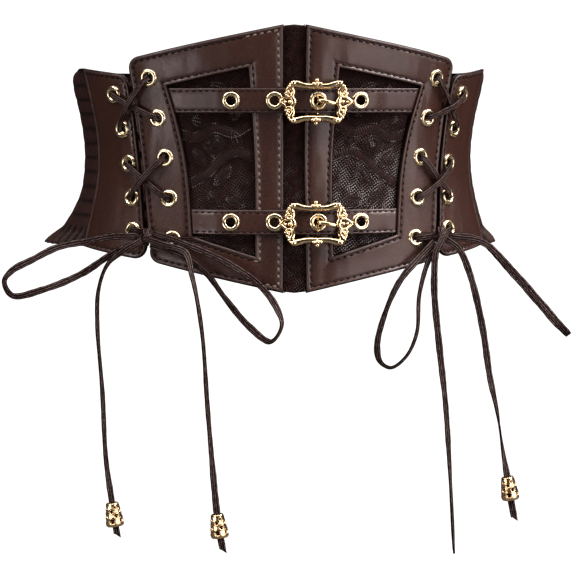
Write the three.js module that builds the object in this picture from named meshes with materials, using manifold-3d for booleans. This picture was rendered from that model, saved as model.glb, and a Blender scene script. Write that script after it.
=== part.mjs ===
import * as THREE from "three";
import { mergeVertices } from "three/addons/utils/BufferGeometryUtils.js";
import Module from "manifold-3d";

const wasm = await Module();
wasm.setup();

// All sizes are in millimetres. The waist is an oval at z = 0 and the belt is worn round it,
// so a piece is drawn flat as (along, z) and then laid on the oval at an outward distance.
// "Along" runs from the front centre, positive towards +X.
const WAIST_HALF_WIDTH = 129.5;
const WAIST_HALF_DEPTH = 93;
const FLARE_ABOVE = 22;
const FLARE_BELOW = 24;
const FLARE_HEIGHT = 70;
const DEPTH_FLARE_SHARE = 0.35;
const BACK_FLARE_SHARE = 0.75;
// The belt sits a little further round on the +X side: lengths there reach on by this much.
const RIGHT_REACH = 4.4;
const RIGHT_REACH_FROM = 25;
const RIGHT_REACH_FULL = 85;
const RIGHT_REACH_FADE = 150;
const RIGHT_REACH_END = 300;

// Clearance between touching pieces, and sheet thicknesses.
const GAP = 0.3;
const CURVE_GAP = 0.55;
const LACE_SHEET = 1.2;
const PANEL_THICKNESS = 2.4;
const SIDE_THICKNESS = 2.5;
const STRAP_THICKNESS = 2.0;
const ELASTIC_THICKNESS = 1.2;

// Front panels.
const PANEL_CENTRE_EDGE = 6.7;
const PANEL_TOP_CENTRE = 85.5;
const PANEL_TOP_OUTER = 64;
const PANEL_BOTTOM_CENTRE = -84.8;
const PANEL_BOTTOM_OUTER = -65;
const PANEL_OUTER_EDGE = 100.5;
const PANEL_TAPER = 14.5;
const PANEL_TAPER_TOP = 15;
const PANEL_TAPER_HEIGHT = 71;
const PANEL_TAPER_CURVE = 1.6;
const PANEL_CORNER = 9;
const PLACKET_HALF_WIDTH = 11.5;
const BACKING_MARGIN = 3;

// Corners of the window in each front panel.
const WINDOW = {
  outerTop: { along: 76.3, z: 46.5 },
  innerTop: { along: 27, z: 57.7 },
  innerBottom: { along: 23, z: -61 },
  outerBottom: { along: 60.4, z: -48.3 },
};

// Side panels and the elastic back.
const SIDE_SLIT = 3;
const SEAM_ALONG = 141;
const SIDE_TOP_FRONT = 54;
const SIDE_TOP_SEAM = 58.5;
const SIDE_BOTTOM_FRONT = -65;
const SIDE_BOTTOM_SEAM = -58;
const SIDE_CORNER = 7;
const PLEAT_PITCH = 16;
const PLEAT_DEPTH = 0.5;
const RUFFLE_TOP = -45;
const RUFFLE_DEPTH = 2.4;
const BACK_FLARE_START = -20;
const BACK_FLARE_OUT = { left: 16, right: 4 };
const BACK_FLARE_CURVE = 1.5;
const BACK_CURL_START = 46;
const BACK_TOP_CURL = 3;
const BACK_ROWS = [-28, 0, 30];
const BACK_FADE = 66;

// Eyelets: the bore takes a lace, the barrel sits in a punched hole.
const BORE_RADIUS = 2.9;
const BARREL_WALL = 0.4;
const FLANGE_RADIUS = 5.7;
const BACK_FLANGE_RADIUS = 4.9;
const FLANGE_HEIGHT = 1.3;
const BACK_FLANGE_HEIGHT = 0.5;
const EYELET_SIDES = 8;
const FRONT_ROW = [
  { along: 87.5, z: 52 },
  { along: 85.4, z: 26.3 },
  { along: 82.3, z: 1 },
  { along: 78, z: -25 },
  { along: 72.5, z: -51 },
];
const SIDE_ROW = [
  { along: 116.3, z: 41.5 },
  { along: 114, z: 19 },
  { along: 110.5, z: -3 },
  { along: 105.5, z: -25 },
  { along: 100.5, z: -46 },
];

// Straps and buckles.
const STRAP_HEIGHT = 16;
const STRAPS = [
  { name: "upper", z: 37.5 },
  { name: "lower", z: -39.6 },
];
const STRAP_EYELET_PITCH = 25.7;
const STRAP_EYELET_SHIFT = 0.9;
const BAR_THICKNESS = 1.4;
const BAR_WIDTH = 3;
const BUMP_REACH = 12;
const STRAP_END_LIFT = 0.1;
const DROP_START = 45;
const DROP_END = 58;
const BUCKLE_SHIFT = -1.5;
const BUCKLE_OPENING_HALF_WIDTH = 11.9;
const BUCKLE_OPENING_HALF_HEIGHT = 9;
const BUCKLE_HALF_WIDTH = 19.5;
const BUCKLE_RISE = 3.4;
const BUCKLE_THICKNESS = 2.4;
const BUCKLE_BEVEL = 0.8;
const OPENING_ROUND = 2.5;
const EYE_INSET = 2;
const EYE_HALF_HEIGHT = 2.6;
const EYE_TIP_INSET = 2.8;
const POST_THICKNESS = 1.6;
const POST_BELOW_FACE = 0.6;
const PIN_RADIUS = 1.1;
const PIN_END_SHORT = 1.8;
const PIN_END_DROP = 2;
// How the pin rises from the bar: across, up, and how high as a rise and a share of its full height.
const PIN_FOOT = [
  [0, 0, 0, 0],
  [0.1, 0, 2, 0],
  [1.2, -0.2, -0.4, 1],
  [3.4, -0.5, 0, 1],
];
const PIN_STEPS = 7;

// Laces and knots. Their chosen points follow below, in millimetres.
const LACE_WIDTH = 4.2;
const LACE_THICKNESS = 1.8;
const LACING_WIDTH = 3.6;
const KNOT_RADIUS = 5.2;
const KNOT_BITE = 0.2;
const KNOT_END_BACK = 2;
const KNOT_LEFT = { along: 86.5, z: -49.6 };
const KNOT_RIGHT = { along: 85.6, z: -49.6 };
const BEAD_BORE = 2.75;
const BEAD_TOP_RADIUS = 3.7;
const BEAD_NECK_RADIUS = 4;
const BEAD_BOTTOM_RADIUS = 5.9;
const BEAD_FOOT_RADIUS = 5;
const BEAD_NECK_SHARE = 0.2;
const BEAD_WIDEST_SHARE = 0.75;
const BEAD_SIDES = 9;
const BEAD_LENGTH = 15.5;

// The laces' loops and tails as they hang, chosen points from the knot outwards.
// flat is the way that the lace's broad face looks at its start and at its end.
const FRONTWARD = [0, -1, 0];
const LOOSE_LACES = [
  {
    name: "loop_left_a", flat: [FRONTWARD, FRONTWARD],
    points: [
      [-99.4, -82.5, -48.8], [-115, -82, -49], [-131, -81, -52], [-150, -79, -56], [-166, -76, -64],
      [-179, -74, -71], [-184, -73, -78], [-179, -74, -87], [-159, -77, -83], [-135, -81, -73],
      [-115, -84, -60], [-99.5, -84.8, -53.5],
    ],
  },
  {
    name: "loop_left_b", flat: [FRONTWARD, FRONTWARD],
    points: [
      [-88.5, -86, -47], [-70, -97, -53], [-43, -104, -65], [-23, -107, -79], [-12, -108, -94],
      [-9, -108, -105], [-16, -108, -115], [-30, -107, -105], [-45, -105, -87], [-57, -103, -71],
      [-73, -99, -60], [-91, -88, -54],
    ],
  },
  {
    name: "tail_left_a", flat: [FRONTWARD, FRONTWARD],
    points: [
      [-96.6, -87.6, -51.3], [-107, -88.7, -57], [-118, -88, -66], [-124, -86, -82], [-125, -84, -105],
      [-122, -83, -149], [-120, -83, -192], [-116.5, -83, -219], [-115, -83, -230], [-113, -83, -242],
    ],
  },
  {
    name: "tail_left_b", flat: [FRONTWARD, FRONTWARD],
    points: [
      [-93, -89, -50.5], [-82, -96, -54], [-70, -102, -58], [-66, -106, -72], [-63, -107, -86],
      [-59, -105, -113], [-56, -102, -155], [-52, -101, -204], [-50, -101, -225], [-48.5, -101, -237],
      [-46, -101, -250],
    ],
  },
  {
    name: "loop_right_a", flat: [FRONTWARD, FRONTWARD],
    points: [
      [92.5, -85.5, -53.5], [83, -91, -62], [68, -95, -79], [58, -95, -102], [54, -95, -120],
      [56, -95, -130], [63, -95, -134], [73, -94, -127], [80, -93, -112], [82, -92, -86],
      [90, -89, -62], [98, -86.5, -55],
    ],
  },
  {
    name: "loop_right_b", flat: [[0, 1, 0], [0.66, 0, -0.75], [0, -1, 0]],
    points: [
      [103, -79.8, -49.3], [124, -79, -53], [142, -78, -71], [161, -77, -92], [176, -77, -109],
      [182, -82, -115], [176, -88, -109], [161, -89, -92], [142, -89, -71], [124, -88, -54],
      [104, -84.5, -50.5],
    ],
  },
  {
    name: "tail_right_a", flat: [FRONTWARD, [1, -0.25, 0]],
    points: [
      [97.6, -87.2, -50.2], [92.5, -91.5, -60], [91.5, -92, -73], [92, -90, -88], [96, -88, -124],
      [100, -88, -159], [103, -88, -202], [106, -88, -256],
    ],
  },
  {
    name: "tail_right_b", flat: [FRONTWARD, FRONTWARD],
    points: [
      [100.4, -86.4, -51.8], [108, -88.5, -58], [116, -86, -75], [125, -83, -110], [130, -83, -142],
      [135, -83, -165], [139, -83, -191], [142, -83, -208], [144.5, -83, -223], [147, -83, -236],
    ],
  },
];
const BEADS = [
  { name: "bead_left_a", top: [-116.3, -83, -220.5], foot: [-114.7, -83, -232] },
  { name: "bead_left_b", top: [-50, -101, -226], foot: [-48.5, -101, -237] },
  { name: "bead_right_b", top: [142, -83, -208], foot: [144.5, -83, -223] },
];

const LEATHER = new THREE.MeshStandardMaterial({ color: 0x3a2723, roughness: 0.45, metalness: 0 });
const LACE = new THREE.MeshStandardMaterial({ color: 0x2c1517, roughness: 0.8, metalness: 0 });
const GOLD = new THREE.MeshStandardMaterial({ color: 0xd8b04a, roughness: 0.25, metalness: 1 });
const CORD = new THREE.MeshStandardMaterial({ color: 0x33211f, roughness: 0.55, metalness: 0 });

const belt = new THREE.Group();

function smooth(from, to, value) {
  return THREE.MathUtils.smoothstep(value, Math.min(from, to), Math.max(from, to));
}

// Arc length round the waist oval for each angle, so that "along" is a real length there.
const ARC_STEPS = 720;
const arcAt = [0];
for (let i = 0; i < ARC_STEPS; i++) {
  const angle = (Math.PI * (i + 0.5)) / ARC_STEPS;
  const across = WAIST_HALF_WIDTH * Math.cos(angle);
  const inward = WAIST_HALF_DEPTH * Math.sin(angle);
  arcAt.push(arcAt[i] + (Math.hypot(across, inward) * Math.PI) / ARC_STEPS);
}
const HALF_WAIST = arcAt[ARC_STEPS];

function angleAt(along) {
  const length = Math.min(Math.abs(along), HALF_WAIST);
  let low = 0;
  let high = ARC_STEPS;
  while (high - low > 1) {
    const middle = (low + high) >> 1;
    if (arcAt[middle] <= length) low = middle;
    else high = middle;
  }
  const share = (length - arcAt[low]) / (arcAt[high] - arcAt[low]);
  return (Math.sign(along) * Math.PI * (low + share)) / ARC_STEPS;
}

function flareAt(z) {
  const height = Math.tanh(z / FLARE_HEIGHT) ** 2;
  return (z > 0 ? FLARE_ABOVE : FLARE_BELOW) * height;
}

function reachedAlong(along) {
  const grown = smooth(RIGHT_REACH_FROM, RIGHT_REACH_FULL, along);
  const faded = smooth(RIGHT_REACH_FADE, RIGHT_REACH_END, along);
  return along + RIGHT_REACH * (grown - faded);
}

// The point at a length along the waist and a height, at a distance out from the body.
function onBody(along, z, out) {
  const angle = angleAt(reachedAlong(along));
  const flare = flareAt(z);
  const back = smooth(Math.PI / 2, Math.PI, Math.abs(angle));
  const depthShare = THREE.MathUtils.lerp(DEPTH_FLARE_SHARE, BACK_FLARE_SHARE, back);
  const halfWidth = WAIST_HALF_WIDTH + flare;
  const halfDepth = WAIST_HALF_DEPTH + flare * depthShare;
  const outward = new THREE.Vector2(Math.sin(angle) / halfWidth, -Math.cos(angle) / halfDepth).normalize();
  return new THREE.Vector3(
    halfWidth * Math.sin(angle) + outward.x * out,
    -halfDepth * Math.cos(angle) + outward.y * out,
    z,
  );
}

function normalAt(along, z) {
  const step = 0.5;
  const sideways = onBody(along + step, z, 0).sub(onBody(along - step, z, 0));
  const upward = onBody(along, z + step, 0).sub(onBody(along, z - step, 0));
  return sideways.cross(upward).normalize();
}

// Closes and orients a geometry: merged vertices, positions only, faces looking out.
function closed(source) {
  const bare = source.clone();
  bare.deleteAttribute("normal");
  bare.deleteAttribute("uv");
  const geometry = mergeVertices(bare, 1e-4);
  const position = geometry.getAttribute("position");
  const index = geometry.getIndex().array;
  const [a, b, c] = [new THREE.Vector3(), new THREE.Vector3(), new THREE.Vector3()];
  let volume = 0;
  for (let i = 0; i < index.length; i += 3) {
    a.fromBufferAttribute(position, index[i]);
    b.fromBufferAttribute(position, index[i + 1]);
    c.fromBufferAttribute(position, index[i + 2]);
    volume += a.dot(b.cross(c));
  }
  if (volume < 0) {
    for (let i = 0; i < index.length; i += 3) [index[i], index[i + 1]] = [index[i + 1], index[i]];
  }
  return geometry;
}

function toSolid(geometry) {
  const source = closed(geometry);
  return new wasm.Manifold(new wasm.Mesh({
    numProp: 3,
    vertProperties: new Float32Array(source.getAttribute("position").array),
    triVerts: new Uint32Array(source.getIndex().array),
  }));
}

function fromSolid(solid) {
  const mesh = solid.getMesh();
  const geometry = new THREE.BufferGeometry();
  geometry.setAttribute("position", new THREE.BufferAttribute(new Float32Array(mesh.vertProperties), 3));
  geometry.setIndex(new THREE.BufferAttribute(new Uint32Array(mesh.triVerts), 1));
  return geometry;
}

function add(name, geometry, material) {
  const mesh = new THREE.Mesh(closed(geometry), material);
  mesh.name = name;
  belt.add(mesh);
  return mesh;
}

// A flat triangulated pattern laid on the body and given its thickness.
// back and front are distances out from the body at a place of the pattern.
function thicken(places, triangles, back, front) {
  const corners = [];
  for (const layer of [front, back]) {
    for (const place of places) corners.push(...onBody(place.along, place.z, layer(place)).toArray());
  }
  const count = places.length;
  const used = new Map();
  for (const [a, b, c] of triangles) {
    for (const [from, to] of [[a, b], [b, c], [c, a]]) {
      if (!used.delete(`${to} ${from}`)) used.set(`${from} ${to}`, [from, to]);
    }
  }
  const faces = [];
  for (const [a, b, c] of triangles) faces.push(a, b, c, count + a, count + c, count + b);
  for (const [from, to] of used.values()) {
    faces.push(to, from, count + from, to, count + from, count + to);
  }
  const geometry = new THREE.BufferGeometry();
  geometry.setAttribute("position", new THREE.Float32BufferAttribute(corners, 3));
  geometry.setIndex(faces);
  return geometry;
}

// A pattern of columns and rows; place(column, row) gives each corner.
function gridSheet(columns, rows, place, back, front) {
  const places = [];
  const triangles = [];
  for (let column = 0; column <= columns; column++) {
    for (let row = 0; row <= rows; row++) places.push(place(column, row));
  }
  for (let column = 0; column < columns; column++) {
    for (let row = 0; row < rows; row++) {
      const low = column * (rows + 1) + row;
      const right = low + rows + 1;
      triangles.push([low, right, right + 1], [low, right + 1, low + 1]);
    }
  }
  return thicken(places, triangles, back, front);
}

// A pattern between two closed outlines with as many points each, both counter-clockwise.
function ringSheet(outer, inner, rings, back, front) {
  const count = outer.length;
  const places = [];
  const triangles = [];
  for (let ring = 0; ring <= rings; ring++) {
    const share = ring / rings;
    for (let i = 0; i < count; i++) {
      places.push({
        along: THREE.MathUtils.lerp(outer[i].along, inner[i].along, share),
        z: THREE.MathUtils.lerp(outer[i].z, inner[i].z, share),
      });
    }
  }
  for (let ring = 0; ring < rings; ring++) {
    for (let i = 0; i < count; i++) {
      const next = (i + 1) % count;
      const [a, b] = [ring * count + i, ring * count + next];
      triangles.push([a, b, b + count], [a, b + count, a + count]);
    }
  }
  return thicken(places, triangles, back, front);
}

function mirrored(place) {
  return { along: -place.along, z: place.z };
}

// The frame in which a small fitting stands on the body: its y axis looks outwards.
function seatMatrix(along, z, out) {
  const turn = new THREE.Quaternion().setFromUnitVectors(new THREE.Vector3(0, 1, 0), normalAt(along, z));
  return new THREE.Matrix4().compose(onBody(along, z, out), turn, new THREE.Vector3(1, 1, 1));
}

const HOLE_RADIUS = BORE_RADIUS + BARREL_WALL + GAP;
const PUNCH_DEPTH = 12;

function punch(geometry, seats, out) {
  let solid = toSolid(geometry);
  for (const seat of seats) {
    const drill = new THREE.CylinderGeometry(HOLE_RADIUS, HOLE_RADIUS, PUNCH_DEPTH, EYELET_SIDES);
    drill.applyMatrix4(seatMatrix(seat.along, seat.z, out));
    solid = solid.subtract(toSolid(drill));
  }
  return fromSolid(solid);
}

const PANEL_BACK = LACE_SHEET + GAP;
const PANEL_FRONT = PANEL_BACK + PANEL_THICKNESS;

function panelOuterEdge(z) {
  const share = THREE.MathUtils.clamp((PANEL_TAPER_TOP - z) / PANEL_TAPER_HEIGHT, 0, 1);
  return PANEL_OUTER_EDGE - PANEL_TAPER * share ** PANEL_TAPER_CURVE;
}

function lerpPlace(from, to, share) {
  return {
    along: THREE.MathUtils.lerp(from.along, to.along, share),
    z: THREE.MathUtils.lerp(from.z, to.z, share),
  };
}

// The two outlines of the front panel on the +X side, counter-clockwise from the lower centre.
const SIDE_POINTS = 10;
function panelOutlines() {
  const corners = [
    { along: PANEL_CENTRE_EDGE, z: PANEL_BOTTOM_CENTRE },
    { along: panelOuterEdge(PANEL_BOTTOM_OUTER), z: PANEL_BOTTOM_OUTER },
    { along: PANEL_OUTER_EDGE, z: PANEL_TOP_OUTER },
    { along: PANEL_CENTRE_EDGE, z: PANEL_TOP_CENTRE },
  ];
  const window = [WINDOW.innerBottom, WINDOW.outerBottom, WINDOW.outerTop, WINDOW.innerTop];
  const outer = [];
  const inner = [];
  for (let side = 0; side < 4; side++) {
    for (let i = 0; i < SIDE_POINTS; i++) {
      const share = i / SIDE_POINTS;
      const place = lerpPlace(corners[side], corners[(side + 1) % 4], share);
      if (side === 1) place.along = panelOuterEdge(place.z);
      outer.push(place);
      inner.push(lerpPlace(window[side], window[(side + 1) % 4], share));
    }
  }
  return { outer: outer.map(roundOuterCorner), inner };
}

// The centre of the round that touches both edges at a corner, and the ways in from it.
function filletAt(before, corner, after) {
  const arriving = new THREE.Vector2(corner.along - before.along, corner.z - before.z).normalize();
  const leaving = new THREE.Vector2(after.along - corner.along, after.z - corner.z).normalize();
  const first = new THREE.Vector2(-arriving.y, arriving.x);
  const middle = first.clone().add(new THREE.Vector2(-leaving.y, leaving.x)).normalize();
  const centre = middle.clone().multiplyScalar(PANEL_CORNER / middle.dot(first));
  return { along: corner.along + centre.x, z: corner.z + centre.y, arriving, leaving };
}

// Pulls the outline in near the two outer corners, so that they are round.
function roundOuterCorner(place) {
  const low = PANEL_BOTTOM_OUTER;
  const near = low + PANEL_CORNER;
  const lowCorner = { along: panelOuterEdge(low), z: low };
  const highCorner = { along: PANEL_OUTER_EDGE, z: PANEL_TOP_OUTER };
  const lowCentre = { along: PANEL_CENTRE_EDGE, z: PANEL_BOTTOM_CENTRE };
  const highCentre = { along: PANEL_CENTRE_EDGE, z: PANEL_TOP_CENTRE };
  const fillets = [
    filletAt(lowCentre, lowCorner, { along: panelOuterEdge(near), z: near }),
    filletAt({ along: PANEL_OUTER_EDGE, z: PANEL_TAPER_TOP }, highCorner, highCentre),
  ];
  for (const fillet of fillets) {
    const offset = new THREE.Vector2(place.along - fillet.along, place.z - fillet.z);
    const beyond = offset.dot(fillet.arriving) > 0 && offset.dot(fillet.leaving) < 0;
    if (!beyond || offset.length() <= PANEL_CORNER) continue;
    offset.setLength(PANEL_CORNER);
    return { along: fillet.along + offset.x, z: fillet.z + offset.y };
  }
  return place;
}

function addFrontPanels() {
  const { outer, inner } = panelOutlines();
  for (const side of ["left", "right"]) {
    const flip = side === "left";
    const turn = (outline) => (flip ? outline.map(mirrored).reverse() : outline);
    const sheet = ringSheet(turn(outer), turn(inner), 2, () => PANEL_BACK, () => PANEL_FRONT);
    const seats = flip ? FRONT_ROW.map(mirrored) : FRONT_ROW;
    add(`front_panel_${side}`, punch(sheet, seats, PANEL_FRONT), LEATHER);
  }
}

// The lace behind a window: the window's own outline grown a little on every side.
const BACKING_COLUMNS = 5;
const BACKING_ROWS = 6;
function backingPlace(side, column, row) {
  const up = row / BACKING_ROWS;
  const share = side > 0 ? column / BACKING_COLUMNS : 1 - column / BACKING_COLUMNS;
  const low = lerpPlace(WINDOW.innerBottom, WINDOW.outerBottom, share);
  const high = lerpPlace(WINDOW.innerTop, WINDOW.outerTop, share);
  const spot = lerpPlace(low, high, up);
  const middle = (WINDOW.innerTop.along + WINDOW.outerTop.along) / 2;
  const wide = (spot.along - middle) / (WINDOW.outerTop.along - WINDOW.innerTop.along);
  return {
    along: side * (spot.along + 2 * BACKING_MARGIN * wide),
    z: spot.z + 2 * BACKING_MARGIN * (up - 0.5),
  };
}

const PLACKET_ROWS = 9;
const PLACKET_SIDE_DROP = 1.4;
function addBackings() {
  for (const side of [-1, 1]) {
    const name = side < 0 ? "lace_window_left" : "lace_window_right";
    const place = (column, row) => backingPlace(side, column, row);
    add(name, gridSheet(BACKING_COLUMNS, BACKING_ROWS, place, () => 0, () => LACE_SHEET), LACE);
  }
  // The centre strip's sides end lower, so that they stay behind the sloping panels.
  const place = (column, row) => {
    const drop = PLACKET_SIDE_DROP * Math.abs(column - 1);
    const z = THREE.MathUtils.lerp(PANEL_BOTTOM_CENTRE + drop, PANEL_TOP_CENTRE - drop, row / PLACKET_ROWS);
    return { along: PLACKET_HALF_WIDTH * (column - 1), z };
  };
  add("centre_placket", gridSheet(2, PLACKET_ROWS, place, () => 0, () => LACE_SHEET), LACE);
}

// The strap's distance out: low where it leaves the window's edge, over the panels between,
// and raised a little where the buckle's bar lies under it.
const BUCKLE_ALONG = STRAP_EYELET_PITCH / 2 + STRAP_EYELET_SHIFT;
function strapBack(along) {
  const ending = PANEL_BACK + STRAP_END_LIFT;
  const over = PANEL_FRONT + GAP;
  const drop = smooth(DROP_START, DROP_END, Math.abs(along));
  const bump = Math.exp(-(((along - BUCKLE_ALONG) / BUMP_REACH) ** 4));
  return THREE.MathUtils.lerp(over, ending, drop) + (BAR_THICKNESS + GAP) * bump;
}

function windowOuterEdge(z) {
  const share = (z - WINDOW.outerBottom.z) / (WINDOW.outerTop.z - WINDOW.outerBottom.z);
  return THREE.MathUtils.lerp(WINDOW.outerBottom.along, WINDOW.outerTop.along, share);
}

function strapSeats(strap) {
  return [-1.5, -0.5, 0.5, 1.5].map((step) => ({
    along: step * STRAP_EYELET_PITCH + STRAP_EYELET_SHIFT,
    z: strap.z,
  }));
}

function addStraps() {
  const columns = 22;
  for (const strap of STRAPS) {
    const place = (column, row) => {
      const z = strap.z + STRAP_HEIGHT * (row - 0.5);
      return { along: (windowOuterEdge(z) - GAP) * ((2 * column) / columns - 1), z };
    };
    const back = (spot) => strapBack(spot.along);
    const front = (spot) => strapBack(spot.along) + STRAP_THICKNESS;
    const sheet = gridSheet(columns, 1, place, back, front);
    add(`strap_${strap.name}`, punchStrap(sheet, strapSeats(strap)), LEATHER);
  }
}

function punchStrap(sheet, seats) {
  let geometry = sheet;
  for (const seat of seats) geometry = punch(geometry, [seat], strapBack(seat.along) + STRAP_THICKNESS);
  return geometry;
}

// Eyelet sections as (radius, height) from the face that the front flange sits on.
function eyeletSection(sheetThickness, backFlange) {
  const barrel = BORE_RADIUS + BARREL_WALL;
  const section = [
    [FLANGE_RADIUS, GAP],
    [FLANGE_RADIUS - 1, GAP + FLANGE_HEIGHT],
    [BORE_RADIUS, GAP + FLANGE_HEIGHT * 0.8],
  ];
  if (backFlange) {
    const seat = -sheetThickness - CURVE_GAP;
    section.push([BORE_RADIUS, seat - BACK_FLANGE_HEIGHT], [BACK_FLANGE_RADIUS, seat], [barrel, seat]);
  } else {
    section.push([BORE_RADIUS, GAP - sheetThickness], [barrel, GAP - sheetThickness]);
  }
  section.push([barrel, GAP]);
  section.push(section[0]);
  return section.map(([radius, height]) => new THREE.Vector2(radius, height));
}

function addEyelet(name, along, z, out, sheetThickness, backFlange) {
  const ring = new THREE.LatheGeometry(eyeletSection(sheetThickness, backFlange), EYELET_SIDES);
  ring.applyMatrix4(seatMatrix(along, z, out));
  add(name, ring, GOLD);
}

function addEyelets() {
  for (const [side, sign] of [["left", -1], ["right", 1]]) {
    FRONT_ROW.forEach((seat, i) => {
      const name = `eyelet_front_${side}_${i + 1}`;
      addEyelet(name, sign * seat.along, seat.z, PANEL_FRONT, PANEL_THICKNESS, true);
    });
    SIDE_ROW.forEach((seat, i) => {
      const name = `eyelet_side_${side}_${i + 1}`;
      addEyelet(name, sign * seat.along, seat.z, SIDE_THICKNESS, SIDE_THICKNESS, true);
    });
  }
  for (const strap of STRAPS) {
    strapSeats(strap).forEach((seat, i) => {
      const out = strapBack(seat.along) + STRAP_THICKNESS;
      addEyelet(`eyelet_strap_${strap.name}_${i + 1}`, seat.along, seat.z, out, STRAP_THICKNESS, false);
    });
  }
}

// Moves a geometry drawn as (along, z, out) on to the body.
function bendOnBody(geometry, along, z) {
  const position = geometry.getAttribute("position");
  for (let i = 0; i < position.count; i++) {
    const spot = onBody(along + position.getX(i), z + position.getY(i), position.getZ(i));
    position.setXYZ(i, spot.x, spot.y, spot.z);
  }
  return geometry;
}

// One quarter of the buckle's outline from the top boss round to the side tip.
const BUCKLE_QUARTER = [
  [0, 14], [1.7, 13.3], [2.4, 11.6], [3.9, 10.9], [8, 10.7], [11.2, 12.2], [13.8, 13.2],
  [16, 11.4], [15.8, 8.4], [17.2, 6.2], [16.8, 3.6], [BUCKLE_HALF_WIDTH, 0],
];
const BUCKLE_FRONT = PANEL_FRONT + GAP + BAR_THICKNESS + GAP + STRAP_THICKNESS + BUCKLE_RISE;

function fullOutline(quarter) {
  const right = quarter.slice(0, -1);
  const lowerRight = quarter.slice(1).reverse().map(([x, y]) => [x, -y]);
  const lowerLeft = quarter.slice(0, -1).map(([x, y]) => [-x, -y]);
  const upperLeft = quarter.slice(1).reverse().map(([x, y]) => [-x, y]);
  return [...right, ...lowerRight, ...lowerLeft, ...upperLeft].map(([x, y]) => new THREE.Vector2(x, y));
}

function buckleGeometry(strap) {
  const [wide, high, round] = [BUCKLE_OPENING_HALF_WIDTH, BUCKLE_OPENING_HALF_HEIGHT, OPENING_ROUND];
  const outline = new THREE.Shape(fullOutline(BUCKLE_QUARTER).reverse());
  const opening = [
    [wide - round, high], [wide, high - round], [wide, round - high], [wide - round, -high],
    [round - wide, -high], [-wide, round - high], [-wide, high - round], [round - wide, high],
  ];
  outline.holes.push(new THREE.Path(opening.map(([x, y]) => new THREE.Vector2(x, y))));
  for (const side of [-1, 1]) {
    const eye = [
      [wide + EYE_INSET, EYE_HALF_HEIGHT], [wide + EYE_INSET, -EYE_HALF_HEIGHT],
      [BUCKLE_HALF_WIDTH - EYE_TIP_INSET, 0],
    ];
    outline.holes.push(new THREE.Path(eye.map(([x, y]) => new THREE.Vector2(side * x, y))));
  }
  const ring = new THREE.ExtrudeGeometry(outline, {
    depth: BUCKLE_THICKNESS - 2 * BUCKLE_BEVEL, steps: 1, bevelEnabled: true,
    bevelThickness: BUCKLE_BEVEL, bevelSize: BUCKLE_BEVEL, bevelOffset: -BUCKLE_BEVEL, bevelSegments: 1,
  });
  ring.translate(BUCKLE_SHIFT, 0, BUCKLE_FRONT - BUCKLE_THICKNESS + BUCKLE_BEVEL);
  // The hidden bar lies under the strap and rises into the top and bottom bars outside it.
  const barBack = PANEL_FRONT + GAP;
  const bar = new THREE.BoxGeometry(BAR_WIDTH, 2 * high + 2, BAR_THICKNESS, 1, 4, 1);
  bar.translate(0, 0, barBack + BAR_THICKNESS / 2);
  let solid = toSolid(ring).add(toSolid(bar));
  for (const end of [-1, 1]) {
    const rise = BUCKLE_FRONT - POST_BELOW_FACE - barBack;
    const post = new THREE.BoxGeometry(BAR_WIDTH, POST_THICKNESS, rise, 1, 1, 2);
    post.translate(0, end * (high + POST_THICKNESS / 2 - GAP), barBack + rise / 2);
    solid = solid.add(toSolid(post));
  }
  return bendOnBody(fromSolid(solid), BUCKLE_ALONG, strap.z);
}

// A route whose rings stand at its chosen points, with the broad face turned as the lace lies.
class LaceRoute extends THREE.CatmullRomCurve3 {
  constructor(points, faces) {
    super(points, false, "centripetal");
    this.faces = faces;
  }

  getSpacedPoints(divisions) {
    return this.getPoints(divisions);
  }

  faceAt(share) {
    const place = share * (this.faces.length - 1);
    const low = Math.min(Math.floor(place), this.faces.length - 2);
    return this.faces[low].clone().lerp(this.faces[low + 1], place - low).normalize();
  }

  computeFrenetFrames(segments) {
    const frames = { tangents: [], normals: [], binormals: [] };
    for (let i = 0; i <= segments; i++) {
      const tangent = this.getTangent(i / segments).normalize();
      const across = this.faceAt(i / segments).cross(tangent).normalize();
      frames.tangents.push(tangent);
      frames.normals.push(across);
      frames.binormals.push(tangent.clone().cross(across).normalize());
    }
    return frames;
  }
}

function laceSection(width, thickness, sides) {
  const points = [];
  for (let i = 0; i < sides; i++) {
    const angle = ((i + 0.5) * 2 * Math.PI) / sides;
    points.push(new THREE.Vector2(Math.cos(angle), Math.sin(angle)));
  }
  const reach = Math.max(...points.map((point) => point.x));
  return new THREE.Shape(points.map((point) => new THREE.Vector2(
    (point.x * width) / 2 / reach, (point.y * thickness) / 2 / reach,
  )));
}

function laceGeometry(points, faces, width, sides, stepsPerPoint) {
  const route = new LaceRoute(points, faces);
  const steps = Math.round((points.length - 1) * stepsPerPoint);
  return new THREE.ExtrudeGeometry(laceSection(width, LACE_THICKNESS, sides), { steps, extrudePath: route });
}

function addBuckles() {
  for (const strap of STRAPS) {
    add(`buckle_${strap.name}`, buckleGeometry(strap), GOLD);
    const foot = PANEL_FRONT + GAP + BAR_THICKNESS + GAP;
    const rest = foot + STRAP_THICKNESS + GAP + FLANGE_HEIGHT + GAP + PIN_RADIUS;
    const reach = BUCKLE_SHIFT + BUCKLE_OPENING_HALF_WIDTH - PIN_END_SHORT;
    const route = [
      ...PIN_FOOT.map(([x, y, rise, share]) => [x, y, foot + rise + (rest - foot) * share]),
      [reach, -PIN_END_DROP, rest],
    ].map(([x, y, out]) => onBody(BUCKLE_ALONG + x, strap.z + y, out));
    const section = new THREE.Shape(laceSection(2 * PIN_RADIUS, 2 * PIN_RADIUS, 8).getPoints());
    const faces = route.map(() => new THREE.Vector3(0, 0, 1));
    const extrudePath = new LaceRoute(route, faces);
    const pin = new THREE.ExtrudeGeometry(section, { steps: PIN_STEPS, extrudePath });
    add(`pin_${strap.name}`, pin, GOLD);
  }
}

function sideFrontEdge(z) {
  return panelOuterEdge(z) + SIDE_SLIT;
}

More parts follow.
